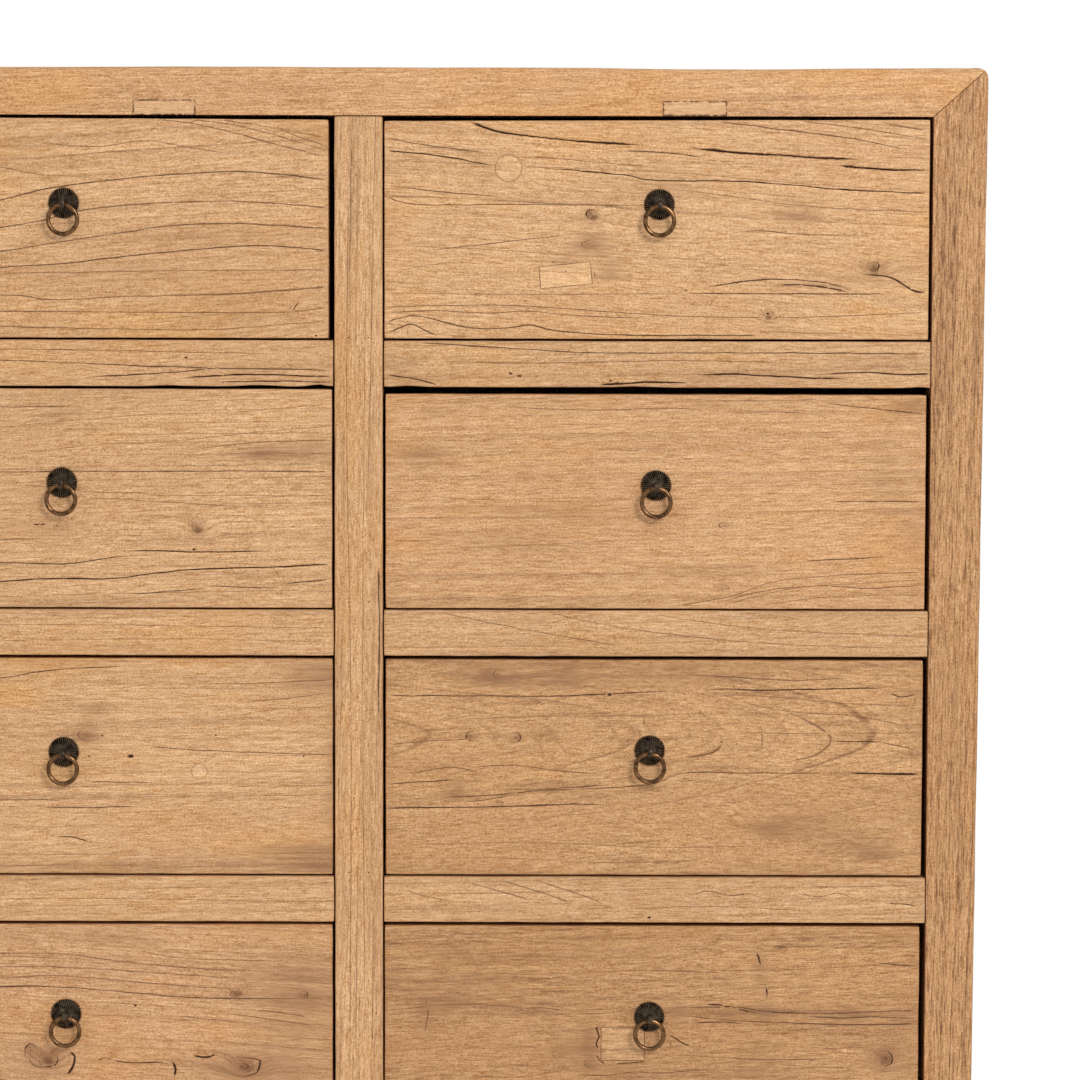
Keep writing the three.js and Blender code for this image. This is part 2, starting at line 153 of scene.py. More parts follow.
class Wiring:
    """Short calls that place and link the nodes of one shader tree.

    A value is a socket of another node or a constant."""

    def __init__(self, tree):
        self.tree = tree

    def new(self, kind, **values):
        node = self.tree.nodes.new(kind)
        for key, value in values.items():
            setattr(node, key, value)
        return node

    def feed(self, socket, value):
        if isinstance(value, bpy.types.NodeSocket):
            self.tree.links.new(value, socket)
        elif value is not None:
            socket.default_value = value

    def math(self, operation, *values, clamp=False):
        node = self.new("ShaderNodeMath", operation=operation, use_clamp=clamp)
        for socket, value in zip(node.inputs, values):
            self.feed(socket, value)
        return node.outputs[0]

    def times(self, a, b, clamp=False):
        return self.math("MULTIPLY", a, b, clamp=clamp)

    def times_plus(self, a, b, c, clamp=False):
        return self.math("MULTIPLY_ADD", a, b, c, clamp=clamp)

    def plus(self, a, b):
        return self.math("ADD", a, b)

    def minus(self, a, b):
        return self.math("SUBTRACT", a, b)

    def swing(self, noise, strength, middle):
        """Lets a value swing about its middle with a noise from 0 to 1."""
        return self.times_plus(self.minus(noise, 0.5), strength, middle)

    def vector(self, operation, *values):
        node = self.new("ShaderNodeVectorMath", operation=operation)
        for socket, value in zip(node.inputs, values):
            self.feed(socket, value)
        return node.outputs["Value" if operation == "LENGTH" else "Vector"]

    def combine(self, x=0.0, y=0.0, z=0.0):
        node = self.new("ShaderNodeCombineXYZ")
        for socket, value in zip(node.inputs, (x, y, z)):
            self.feed(socket, value)
        return node.outputs[0]

    def separate(self, vector):
        node = self.new("ShaderNodeSeparateXYZ")
        self.feed(node.inputs[0], vector)
        return node.outputs

    def noise(self, vector, detail=2.0, roughness=0.5):
        node = self.new("ShaderNodeTexNoise")
        self.feed(node.inputs["Vector"], vector)
        self.feed(node.inputs["Scale"], 1.0)
        self.feed(node.inputs["Detail"], detail)
        self.feed(node.inputs["Roughness"], roughness)
        return node.outputs["Fac"]

    def stretch(self, vector, along, across):
        """Scales the grain space: along the grain, and across it both ways, per metre."""
        return self.vector("MULTIPLY", vector, (along, across, across))

    def between(self, value, low, high, start=0.0, end=1.0):
        """Smooth step of value from low to high."""
        node = self.new("ShaderNodeMapRange", interpolation_type="SMOOTHSTEP")
        for socket, item in zip(node.inputs, (value, low, high, start, end)):
            self.feed(socket, item)
        return node.outputs[0]

    def mix(self, factor, a, b, blend="MIX"):
        node = self.new("ShaderNodeMix", data_type="RGBA", blend_type=blend)
        self.feed(node.inputs[0], factor)
        self.feed(node.inputs[6], a if isinstance(a, bpy.types.NodeSocket) else (*a, 1))
        self.feed(node.inputs[7], b if isinstance(b, bpy.types.NodeSocket) else (*b, 1))
        return node.outputs[2]

    def attribute(self, name):
        return self.new("ShaderNodeAttribute", attribute_name=name).outputs["Fac"]

    def place(self, group, **values):
        """Places a node group and sets its inputs by name, with _ for a blank."""
        node = self.new("ShaderNodeGroup", node_tree=group)
        for key, value in values.items():
            socket = node.inputs[key.replace("_", " ")]
            if socket.type == "RGBA" and not isinstance(value, bpy.types.NodeSocket):
                value = (*value, 1)
            self.feed(socket, value)
        return node.outputs


SOCKETS = {"f": "NodeSocketFloat", "v": "NodeSocketVector", "c": "NodeSocketColor"}


def shader_group(name, inputs, outputs):
    """An empty node group. inputs and outputs are "name:kind" words, with kind f, v or c."""
    tree = bpy.data.node_groups.new(name, "ShaderNodeTree")
    for words, way in ((inputs, "INPUT"), (outputs, "OUTPUT")):
        for word in words:
            label, kind = word.split(":")
            tree.interface.new_socket(name=label, in_out=way, socket_type=SOCKETS[kind])
    wire = Wiring(tree)
    given = wire.new("NodeGroupInput").outputs
    result = wire.new("NodeGroupOutput").inputs
    return wire, given, result


def once(build):
    """Builds a node group the first time it is asked for."""
    def named(*_):
        name = build.__name__.replace("_", " ").capitalize()
        return bpy.data.node_groups.get(name) or build(name)
    return named


def ring_line(wire, turn, seed, start, peak):
    """A dark line at the end of every ring, with its own strength in each ring."""
    part = wire.math("FRACT", turn)
    chance = wire.new("ShaderNodeTexWhiteNoise", noise_dimensions="1D")
    wire.feed(chance.inputs["W"], wire.plus(wire.math("FLOOR", turn), seed))
    weight = wire.times_plus(chance.outputs["Value"], 0.8, 0.2)
    rise = wire.between(part, start, peak)
    fall = wire.between(part, peak, 1.0, 1.0, 0.0)
    return part, wire.times(wire.times(rise, fall), weight)


@once
def growth_rings(name):
    """Thin dark lines where growth rings meet the surface. The pith runs near the grain axis."""
    wire, given, result = shader_group(
        name,
        ["Vector:v", "Pith:v", "Tilt:v", "Spacing:f", "Wander:f", "Knot Shift:f", "Seed:f"],
        ["Line:f", "Fine Line:f", "Band:f", "Flow:v"])
    x, y, z = wire.separate(given["Vector"])
    pith, tilt = wire.separate(given["Pith"]), wire.separate(given["Tilt"])
    across = wire.minus(y, wire.times_plus(x, tilt[1], pith[1]))
    deep = wire.minus(z, wire.times_plus(x, tilt[2], pith[2]))
    radius = wire.vector("LENGTH", wire.combine(0.0, across, deep))
    seeded = wire.vector("ADD", given["Vector"], wire.combine(given["Seed"], given["Seed"], 0.0))
    slow = wire.noise(wire.stretch(seeded, 3.2, 9.0), 1.0)
    quick = wire.noise(wire.stretch(seeded, 21.0, 46.0), 2.0)
    bend = wire.times(wire.minus(slow, 0.5), given["Wander"])
    jitter = wire.times(wire.minus(quick, 0.5), wire.times(given["Wander"], 0.10))
    drift = wire.plus(wire.plus(bend, jitter), given["Knot Shift"])
    radius = wire.plus(radius, drift)
    wire.feed(result["Flow"], wire.combine(x, wire.plus(across, drift), deep))
    turn = wire.math("DIVIDE", radius, given["Spacing"])
    uneven = wire.noise(wire.combine(wire.times(turn, 0.37), given["Seed"], 0.0), 1.0)
    turn = wire.times_plus(uneven, 2.6, turn)
    part, line = ring_line(wire, turn, given["Seed"], 0.86, 0.955)
    _, fine = ring_line(wire, wire.times(turn, 4.3), given["Seed"], 0.55, 0.82)
    fade = wire.noise(wire.stretch(seeded, 11.0, 48.0), 3.0)
    wire.feed(result["Line"], wire.times(line, wire.between(fade, 0.34, 0.58)))
    wire.feed(result["Fine Line"], wire.times(fine, wire.between(fade, 0.62, 0.40)))
    wire.feed(result["Band"], part)
    return wire.tree


@once
def wood_fibre(name):
    """Fibres, streaks, pores and slow patches that run along the grain."""
    wire, given, result = shader_group(
        name, ["Vector:v", "Seed:f"],
        ["Fibre:f", "Streak:f", "Pores:f", "Flecks:f", "Patch:f", "Second Patch:f", "Mottle:f"])
    seeded = wire.vector("ADD", given["Vector"], wire.combine(given["Seed"], 0.0, given["Seed"]))
    fibre = wire.noise(wire.stretch(seeded, 75.0, 860.0), 2.0, 0.75)
    streak = wire.noise(wire.stretch(seeded, 3.6, 170.0), 4.0, 0.68)
    flecks = wire.noise(wire.stretch(seeded, 60.0, 760.0), 2.0, 0.6)
    patch = wire.noise(wire.stretch(seeded, 4.5, 13.0), 3.0, 0.55)
    pores = wire.noise(wire.stretch(seeded, 95.0, 760.0), 2.0)
    second = wire.noise(wire.vector("ADD", wire.stretch(seeded, 6.0, 17.0), (7.3, 1.9, 4.1)), 3.0, 0.6)
    mottle = wire.noise(wire.stretch(seeded, 640.0, 780.0), 1.0, 0.6)
    wire.feed(result["Fibre"], fibre)
    wire.feed(result["Streak"], streak)
    clear = wire.between(patch, 0.36, 0.60, 0.25, 1.0)
    wire.feed(result["Pores"], wire.times(wire.between(pores, 0.55, 0.66), clear))
    wire.feed(result["Flecks"], wire.between(flecks, 0.50, 0.64))
    wire.feed(result["Patch"], wire.between(patch, 0.48, 0.64))
    wire.feed(result["Second Patch"], wire.between(second, 0.48, 0.66))
    wire.feed(result["Mottle"], mottle)
    return wire.tree


@once
def knot(name):
    """One knot: it pushes the growth rings aside and has a dark core in a soft halo."""
    wire, given, result = shader_group(
        name, ["Vector:v", "Centre:v", "Reach:v", "Lift:f", "Core:f"], ["Shift:f", "Core:f", "Halo:f"])
    offset = wire.vector("SUBTRACT", given["Vector"], given["Centre"])
    wobble = wire.noise(wire.stretch(given["Vector"], 210.0, 210.0), 2.0)
    x, y, _ = wire.separate(wire.vector("DIVIDE", offset, given["Reach"]))
    away = wire.vector("LENGTH", wire.combine(x, y, 0.0))
    bell = wire.math("EXPONENT", wire.times(wire.times(away, away), -1.0))
    wire.feed(result["Shift"], wire.times(bell, given["Lift"]))
    flat_x, flat_y, _ = wire.separate(offset)
    near = wire.vector("LENGTH", wire.combine(wire.times(flat_x, 0.75), flat_y, 0.0))
    share = wire.math("DIVIDE", near, given["Core"])
    share = wire.swing(wobble, 0.9, share)
    wire.feed(result["Core"], wire.between(share, 0.35, 1.0, 1.0, 0.0))
    wire.feed(result["Halo"], wire.between(share, 0.8, 3.2, 1.0, 0.0))
    return wire.tree


@once
def let_in_strip(name):
    """A strip let into a board: where it lies, and the uneven joint around it."""
    wire, given, result = shader_group(
        name, ["Vector:v", "Centre:v", "Half Size:v"], ["Inside:f", "Joint:f"])
    offset = wire.vector("ABSOLUTE", wire.vector("SUBTRACT", given["Vector"], given["Centre"]))
    ragged = wire.noise(wire.stretch(given["Vector"], 260.0, 420.0), 2.0)
    x, y, _ = wire.separate(wire.vector("SUBTRACT", offset, given["Half Size"]))
    edge = wire.swing(ragged, 1.2 * MM, wire.math("MAXIMUM", x, y))
    wire.feed(result["Inside"], wire.between(edge, 0.2 * MM, -0.2 * MM))
    near = wire.between(wire.math("ABSOLUTE", edge), 0.2 * MM, 1.2 * MM, 1.0, 0.0)
    wire.feed(result["Joint"], wire.times(near, wire.between(ragged, 0.36, 0.60, 0.10, 0.52)))
    return wire.tree


# How strongly the fine tone of the wood shows in red, green and blue: its darks are warmer.
WARM_TONE = (0.86, 1.27, 1.85)


@once
def elm_surface(name):
    """Colour, roughness and height of oiled old elm from its figure, knots, splits and stains, with
    painted shade along its edges and in the depths of its splits.
    """
    wire, given, result = shader_group(
        name,
        ["Vector:v", "Seed:f", "Pith:v", "Tilt:v", "Spacing:f", "Wander:f", "Ring Depth:f",
         "Band Depth:f", "Streak Depth:f", "Fleck Depth:f", "Blush Depth:f", "Amber Depth:f",
         "Knot Shift:f", "Knot Core:f", "Knot Halo:f", "Split:f", "Rim:f", "Inlay:f", "Grey:f",
         "Light:c", "Dark:c", "Blush:c", "Stain:c", "Amber:c", "Dirt:c"],
        ["Color:c", "Roughness:f", "Height:f"])
    moved = wire.vector("MULTIPLY", wire.combine(given["Inlay"], given["Inlay"], given["Inlay"]),
                        (0.31, 0.043, 0.12))
    vector = wire.vector("ADD", given["Vector"], moved)
    rings = wire.place(growth_rings(), Vector=vector, Pith=given["Pith"], Tilt=given["Tilt"],
                       Spacing=given["Spacing"], Wander=given["Wander"],
                       Knot_Shift=given["Knot Shift"], Seed=given["Seed"])
    fibre = wire.place(wood_fibre(), Vector=rings["Flow"], Seed=given["Seed"])
    streak = wire.between(fibre["Streak"], 0.44, 0.70)
    shade = wire.times(streak, wire.times(given["Streak Depth"], 0.86))
    shade = wire.times_plus(rings["Band"], given["Band Depth"], shade)
    shade = wire.times_plus(rings["Line"], given["Ring Depth"], shade)
    shade = wire.times_plus(rings["Fine Line"], wire.times(given["Ring Depth"], 0.42), shade)
    shade = wire.times_plus(fibre["Flecks"], given["Fleck Depth"], shade)
    shade = wire.times_plus(fibre["Pores"], 0.25, shade, clamp=True)
    colour = wire.mix(shade, given["Light"], given["Dark"])
    for patch, stem in (("Second Patch", "Amber"), ("Patch", "Blush")):
        colour = wire.mix(wire.times(fibre[patch], given[stem + " Depth"]), colour, given[stem])
    colour = wire.mix(wire.times(given["Knot Halo"], 0.30), colour, given["Stain"])
    tone = wire.swing(fibre["Fibre"], 1.28, 1.0)
    tone = wire.swing(fibre["Mottle"], 1.15, tone)
    tone = wire.times_plus(given["Inlay"], 0.20, tone)
    warm = [wire.times_plus(tone, gain, 1.0 - gain) for gain in WARM_TONE]
    colour = wire.mix(1.0, colour, wire.combine(*warm), "MULTIPLY")
    ragged = wire.plus(fibre["Streak"], wire.times(fibre["Mottle"], 0.5))
    smudge = wire.times(given["Grey"], wire.between(ragged, 0.62, 0.86, 0.35, 1.1))
    colour = wire.mix(wire.times(smudge, 0.9, clamp=True), colour, given["Stain"])
    colour = wire.mix(wire.times(given["Knot Core"], 0.72), colour, given["Dark"])
    # Painted shade: the rim value darkens a board's outermost edge, and its sides and back, which lie in
    # the gaps and inside the cabinet.
    rim = wire.times(given["Rim"], wire.between(fibre["Mottle"], 0.35, 0.6))
    colour = wire.mix(wire.times(rim, 0.45), colour, given["Dark"])
    # Dark grain and dirt, and painted shade: the split value browns the wood and, where it is high, turns
    # it near black as if shaded deep in a split, hole or knot.
    brown = wire.times(wire.between(given["Split"], 0.04, 0.46), 0.9)
    colour = wire.mix(brown, colour, given["Dark"])
    split = wire.between(given["Split"], 0.32, 0.72)
    wire.feed(result["Color"], wire.mix(split, colour, given["Dirt"]))
    rough = wire.times_plus(fibre["Fibre"], 0.22, 0.44)
    rough = wire.times_plus(shade, 0.10, rough)
    wire.feed(result["Roughness"], wire.times_plus(split, 0.25, rough, clamp=True))
    height = wire.times_plus(fibre["Fibre"], 0.55, 0.5)
    height = wire.times_plus(rings["Line"], -0.75, height)
    height = wire.times_plus(fibre["Pores"], -0.50, height)
    height = wire.times_plus(fibre["Flecks"], -0.25, height)
    wire.feed(result["Height"], wire.times_plus(given["Knot Core"], -0.8, height))
    return wire.tree


@once
def aged_metal(name):
    """Patina with rubbed ridges, fine pits and soft tarnish clouds."""
    wire, given, result = shader_group(
        name, ["Vector:v", "Worn:f", "Patina:c", "Rubbed:c", "Base Roughness:f"],
        ["Color:c", "Roughness:f", "Height:f"])
    clouds = wire.noise(wire.stretch(given["Vector"], 260.0, 260.0), 3.0, 0.6)
    pits = wire.noise(wire.stretch(given["Vector"], 1500.0, 1500.0), 2.0, 0.6)
    rubbed = wire.times(given["Worn"], wire.between(clouds, 0.30, 0.62))
    rubbed = wire.times_plus(wire.between(pits, 0.5, 0.75), 0.12, rubbed, clamp=True)
    colour = wire.mix(rubbed, given["Patina"], given["Rubbed"])
    tone = wire.swing(pits, 0.5, 1.0)
    wire.feed(result["Color"], wire.mix(1.0, colour, wire.combine(tone, tone, tone), "MULTIPLY"))
    rough = wire.swing(clouds, 0.35, given["Base Roughness"])
    wire.feed(result["Roughness"], wire.times_plus(rubbed, -0.10, rough, clamp=True))
    wire.feed(result["Height"], wire.times_plus(pits, 0.6, wire.times(clouds, 0.6)))
    return wire.tree


# ---- materials ----

def new_material(name):
    """A new material, the wiring of its nodes and its surface shader."""
    material = bpy.data.materials.new(name)
    material.use_nodes = True
    shader = material.node_tree.nodes["Principled BSDF"]
    return material, Wiring(material.node_tree), shader


def finish_surface(wire, shader, surface, bump_mm):
    """Links the colour, roughness and height of a node group's surface to the shader."""
    shader.inputs["Specular IOR Level"].default_value = 0.35
    bump = wire.new("ShaderNodeBump")
    wire.feed(bump.inputs["Strength"], 1.0)
    wire.feed(bump.inputs["Distance"], bump_mm * MM)
    wire.feed(bump.inputs["Height"], surface["Height"])
    wire.feed(shader.inputs["Base Color"], surface["Color"])
    wire.feed(shader.inputs["Roughness"], surface["Roughness"])
    wire.feed(shader.inputs["Normal"], bump.outputs["Normal"])


# For each way the grain can run: which axes lie along the grain, across it and through the board.
GRAIN_ORDER = {
    "x": (0, 2, 1), "z": (2, 0, 1), "y": (1, 0, 2), "y_side": (1, 2, 0), "z_side": (2, 1, 0),
}

# The plain elm that a board's own figure changes: the pith's middle and lean, the width and wander
# of the rings in metres, the strength of each effect, the tint, and the knots and let-in strips.
FIGURE = {
    "pith": (0.0, 0.13, 0.08), "tilt": (0.0, 0.015, 0.01), "spacing": 0.009, "wander": 0.010,
    "rings": 0.75, "band": 0.12, "streak": 0.26, "fleck": 0.10, "blush": 0.30, "amber": 0.34,
    "tone": 1.0, "tint": (1.0, 1.0, 1.0), "knots": (), "strips": (),
}


def tinted(colour, tint):
    return [min(1.0, c * t) for c, t in zip(colour, tint)]


def grain_space(wire, along, origin):
    """Places in a board, from its own origin: along the grain, across it and through it."""
    place = wire.new("ShaderNodeTexCoord").outputs["Object"]
    parts = wire.separate(wire.vector("SUBTRACT", place, tuple(origin)))
    return wire.combine(*(parts[axis] for axis in GRAIN_ORDER[along]))


def elm_material(name, along, origin, **figure):
    """Oiled elm with its own figure. origin is where the board's own grain space starts."""
    values = {**FIGURE, **figure}
    finishes = bpy.context.scene.cabinet_finishes
    material, wire, shader = new_material(name)
    vector = grain_space(wire, along, origin)
    shift, core, halo = 0.0, 0.0, 0.0
    for centre, reach, lift, size in values["knots"]:
        made = wire.place(knot(), Vector=vector, Centre=(*centre, 0.0), Reach=(*reach, 1.0),
                          Lift=lift, Core=size)
        shift = wire.plus(made["Shift"], shift)
        core = wire.math("MAXIMUM", made["Core"], core)
        halo = wire.math("MAXIMUM", made["Halo"], halo)
    split, inlay, grey = (wire.attribute(name) for name in ("split", "inlay", "grey"))
    for centre, half in values["strips"]:
        strip = wire.place(let_in_strip(), Vector=vector, Centre=(*centre, 0.0), Half_Size=(*half, 1.0))
        split = wire.math("MAXIMUM", split, strip["Joint"])
        inlay = wire.math("MAXIMUM", inlay, strip["Inside"])
        grey = wire.times_plus(strip["Inside"], 0.36, grey)
    # On the lower drawer fronts the tone and tint also paint shade.
    tint = [values["tone"] * c for c in values["tint"]]
    surface = wire.place(
        elm_surface(), Vector=vector, Seed=values["seed"], Pith=values["pith"], Tilt=values["tilt"],
        Spacing=values["spacing"], Wander=values["wander"], Ring_Depth=values["rings"],
        Band_Depth=values["band"], Streak_Depth=values["streak"], Fleck_Depth=values["fleck"],
        Blush_Depth=values["blush"], Amber_Depth=values["amber"], Knot_Shift=shift,
        Knot_Core=core, Knot_Halo=halo, Split=split, Rim=wire.attribute("rim"), Inlay=inlay, Grey=grey,
        Light=tinted(finishes.elm_light, tint), Dark=finishes.elm_dark,
        Blush=tinted(finishes.blush, tint), Stain=finishes.stain,
        Amber=tinted(finishes.amber, tint), Dirt=finishes.dirt)
    finish_surface(wire, shader, surface, 0.16)
    return material


def inner_material(name, along, origin, seed):
    """Unfinished pale softwood of the drawers' insides and the runners."""
    finishes = bpy.context.scene.cabinet_finishes
    material, wire, shader = new_material(name)
    surface = wire.place(
        elm_surface(), Vector=grain_space(wire, along, origin), Seed=seed, Pith=(0, 0.03, 0.05),
        Tilt=(0, 0.02, 0.04),
        Spacing=0.006, Wander=0.012, Ring_Depth=0.55, Band_Depth=0.30, Streak_Depth=0.18,
        Fleck_Depth=0.04, Blush_Depth=0.15, Amber_Depth=0.10, Rim=wire.attribute("rim"),
        Light=finishes.inner_light, Dark=finishes.inner_dark, Blush=finishes.inner_light,
        Stain=finishes.stain, Amber=finishes.amber, Dirt=finishes.dirt)
    finish_surface(wire, shader, surface, 0.12)
    return material


def metal_material(name, patina, rubbed, roughness, bump_mm):
    """Old metal that is dark in its hollows and rubbed where its mesh says that it is worn."""
    material, wire, shader = new_material(name)
    shader.inputs["Metallic"].default_value = 1.0
    surface = wire.place(
        aged_metal(), Vector=wire.new("ShaderNodeTexCoord").outputs["Object"],
        Worn=wire.attribute("worn"), Patina=patina, Rubbed=rubbed, Base_Roughness=roughness)
    finish_surface(wire, shader, surface, bump_mm)
    return material


# ---- mesh helpers ----

PLAIN_WOBBLE = 0.3 * MM   # how far the edges of panels and inner boards wander
SLICE = 22 * MM           # between the cuts that let a board's edges wander
SAME_PLANE = 1e-7
EDGE_ANGLE = 0.5          # edges with a sharper bend than this are worn round


def around(count):
    """Evenly spaced angles around a circle."""
    return [i / count * 2 * math.pi for i in range(count)]


def wave(seed, *where):
    """Smooth noise from 0 to 1 that is the same on every run."""
    return 0.5 + 0.5 * noise.noise(Vector((where + (0.0, 0.0))[:3]) + Vector((seed, seed * 0.7, 0.0)))


def add_piece(name, mesh, material, slot, body, replaced=()):
    """Adds one piece that moves with a body, in place of the nodes that it replaces."""
    piece = bpy.data.objects.new(name, mesh)
    bpy.context.scene.collection.objects.link(piece)
    mesh.materials.append(material)
    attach(piece, body)
    if replaced:
        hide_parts(*replaced)
    return piece


def soften(piece, angle=0.6):
    """Smooth shading with hard edges kept, and flat faces kept flat by weighted normals."""
    shape = bmesh.new()
    shape.from_mesh(piece.data)
    for face in shape.faces:
        face.smooth = True
    for edge in shape.edges:
        edge.smooth = edge.calc_face_angle(math.pi) < angle
    shape.to_mesh(piece.data)
    shape.free()
    piece.modifiers.new("Flat faces", "WEIGHTED_NORMAL").keep_sharp = True


def wear_edges(shape, arris, wobble, seed):
    """Rounds the edges of a planar solid, splits it along its length and lets the edges wander."""
    low = Vector([min(v.co[i] for v in shape.verts) for i in range(3)])
    high = Vector([max(v.co[i] for v in shape.verts) for i in range(3)])
    bmesh.ops.bevel(shape, geom=[e for e in shape.edges if e.calc_face_angle(0) > EDGE_ANGLE],
                    offset=arris, offset_type="OFFSET", segments=2, profile=0.6, affect="EDGES",
                    clamp_overlap=True)
    axis = max(range(3), key=lambda i: high[i] - low[i])
    normal = Vector([1.0 if i == axis else 0.0 for i in range(3)])
    count = max(2, int((high[axis] - low[axis]) / SLICE))
    for step in range(1, count):
        spot = low + (high - low) * (step / count)
        bmesh.ops.bisect_plane(shape, geom=shape.verts[:] + shape.edges[:] + shape.faces[:],
                               dist=SAME_PLANE, plane_co=spot, plane_no=normal)
    shape.normal_update()
    moves = []
    for vert in shape.verts:
        from_end = min(abs(vert.co[axis] - low[axis]), abs(vert.co[axis] - high[axis]))
        if vert.is_manifold and from_end >= arris * 2:
            push = wobble * wave(seed + 3 * vert.normal.x + 5 * vert.normal.z, vert.co[axis] * 24)
            moves.append((vert, vert.normal * -push))
    for vert, move in moves:
        vert.co += move


def block_shape(low, high):
    """A plain box."""
    shape = bmesh.new()
    corners = [shape.verts.new((x, y, z))
               for z in (low[2], high[2]) for y in (low[1], high[1]) for x in (low[0], high[0])]
    for loop in ((0, 2, 3, 1), (4, 5, 7, 6), (0, 1, 5, 4), (2, 6, 7, 3), (0, 4, 6, 2), (1, 3, 7, 5)):
        shape.faces.new([corners[i] for i in loop])
    return shape


def to_mesh(shape, name):
    """Turns a finished shape into a mesh whose faces all look outwards."""
    mesh = bpy.data.meshes.new(name)
    bmesh.ops.recalc_face_normals(shape, faces=shape.faces[:])
    shape.to_mesh(mesh)
    shape.free()
    return mesh


def plain_board(name, low, high, along, body, replaced, arris, seed):
    """One straight board of the unfinished inner wood."""
    material = inner_material(name, along, (Vector(low) + Vector(high)) / 2, seed)
    shape = block_shape(low, high)
    wear_edges(shape, arris, PLAIN_WOBBLE, seed)
    soften(add_piece(name, to_mesh(shape, name), material, "inner_wood", body, replaced))


# ---- mitred frame members ----

ROUNDING_STEPS = 8
MITRE_ARRIS = 0.7   # the mitred members' arris, as a share of the others'


def half_width_at(z, round_top):
    """Half the cabinet's width at a height: the sides lean in towards the feet."""
    lean = CAD_HIGH.x - FOOT_HALF_WIDTH
    return CAD_HIGH.x - lean * max(0.0, 1 - z / (HEIGHT - round_top))


def outer_form(round_top, round_post):
    """The whole outer form of the frame, with tapered sides and rounded edges."""
    shape = bmesh.new()
    middle, half_depth = (FRONT_Y + BACK_Y) / 2, (BACK_Y - FRONT_Y) / 2
    levels = [(0.0, 0.0)]
    for step in range(ROUNDING_STEPS + 1):
        angle = step / ROUNDING_STEPS * math.pi / 2
        levels.append((HEIGHT - round_top * (1 - math.sin(angle)), round_top * (1 - math.cos(angle))))
    rings = []
    for z, inset in levels:
        radius = max(round_post - inset, 0.4 * MM)
        half_x, half_y = half_width_at(z, round_top) - inset, half_depth - inset
        ring = []
        for quarter, (side_x, side_y) in enumerate(((1, 1), (-1, 1), (-1, -1), (1, -1))):
            for part in range(4):
                angle = (quarter + part / 3) * math.pi / 2
                ring.append(shape.verts.new((
                    side_x * (half_x - radius) + radius * math.cos(angle),
                    middle + side_y * (half_y - radius) + radius * math.sin(angle), z)))
        rings.append(ring)
    for lower, upper in zip(rings, rings[1:]):
        for i in range(len(lower)):
            j = (i + 1) % len(lower)
            shape.faces.new((lower[i], lower[j], upper[j], upper[i]))
    shape.faces.new(rings[0][::-1])
    shape.faces.new(rings[-1])
    return shape


def cut_away(shape, point, normal):
    """Keeps the part of a closed shape behind a plane, and closes the cut."""
    made = bmesh.ops.bisect_plane(
        shape, geom=shape.verts[:] + shape.edges[:] + shape.faces[:], dist=SAME_PLANE,
        plane_co=point, plane_no=normal, clear_outer=True)
    edges = [g for g in made["geom_cut"] if isinstance(g, bmesh.types.BMEdge)]
    if edges:
        bmesh.ops.holes_fill(shape, edges=edges, sides=0)


def corner_planes(side_x, side_y, member):
    """The planes that part a member from its two neighbours in one mitred corner."""
    post_low, post_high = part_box("front_left_post")
    corner = Vector((side_x * CAD_HIGH.x, FRONT_Y if side_y < 0 else BACK_Y, HEIGHT))
    size = Vector((post_high.x - post_low.x, post_high.y - post_low.y, HEIGHT - TOP_UNDERSIDE))
    inward = Vector((-side_x, -side_y, -1))
    own = {"x": 0, "y": 1, "post": 2}[member]
    for other in range(3):
        if other == own:
            continue
        normal = Vector((0, 0, 0))
        normal[other] = inward[other] / size[other]
        normal[own] = -inward[own] / size[own]
        normal.normalize()
        yield corner - normal * (GLUE_LINE / 2), normal


def shape_member(member, side_x, side_y, sizes):
    """One mitred member of the frame, cut out of the outer form."""
    shape = outer_form(sizes.top_round, sizes.post_round)
    post_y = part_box("front_left_post")[1].y
    inner_y = post_y if side_y < 0 else BACK_Y - (post_y - FRONT_Y)
    if member in ("post", "y"):
        cut_away(shape, Vector((side_x * POST_INNER, 0, 0)), Vector((-side_x, 0, 0)))
    if member in ("post", "x"):
        cut_away(shape, Vector((0, inner_y, 0)), Vector((0, -side_y, 0)))
    if member in ("x", "y"):
        cut_away(shape, Vector((0, 0, TOP_UNDERSIDE)), Vector((0, 0, -1)))
    sides_x = (-1, 1) if member == "x" else (side_x,)
    sides_y = (-1, 1) if member == "y" else (side_y,)
    for x in sides_x:
        for y in sides_y:
            for point, normal in corner_planes(x, y, member):
                cut_away(shape, point, normal)
    return shape


def build_frame_member(sizes, name, member, side_x, side_y, along, slot, seed, **figure):
    shape = shape_member(member, side_x, side_y, sizes)
    wear_edges(shape, sizes.arris * MITRE_ARRIS, sizes.wobble, seed)
    if name == "top_front_rail":
        sag_top_edge(shape)
    material = elm_material(name, along, centre_of(name), seed=seed, **figure)
    soften(add_piece(name + "_elm", to_mesh(shape, name), material, slot, "carcass", (name,)))


# Strips let into the top front rail: their middle and half size, along and across it.
TOP_STRIPS = (((0.267, -0.0135), (0.025, 0.0055)), ((-0.154, -0.0135), (0.0245, 0.0058)))

# Worn hollows along the top front edge: place across the front, half length and depth.
TOP_HOLLOWS = (
    (0.29, 0.130, 0.0024), (0.03, 0.16, 0.0007), (-0.27, 0.14, 0.0012), (-0.44, 0.06, 0.0008),
)
HOLLOW_BACK = 26 * MM
HOLLOW_DOWN = 24 * MM


def sag_top_edge(shape):
    """Wears the hollows into the upper front edge; they fade out towards the back and below."""
    for vert in shape.verts:
        near = max(0.0, 1 - (vert.co.y - FRONT_Y) / HOLLOW_BACK)
        near *= max(0.0, 1 - (HEIGHT - vert.co.z) / HOLLOW_DOWN)
        for place, reach, depth in TOP_HOLLOWS:
            share = (vert.co.x - place) / reach
            vert.co.z -= depth * near * math.exp(-share * share * 2)


# ---- carved boards ----

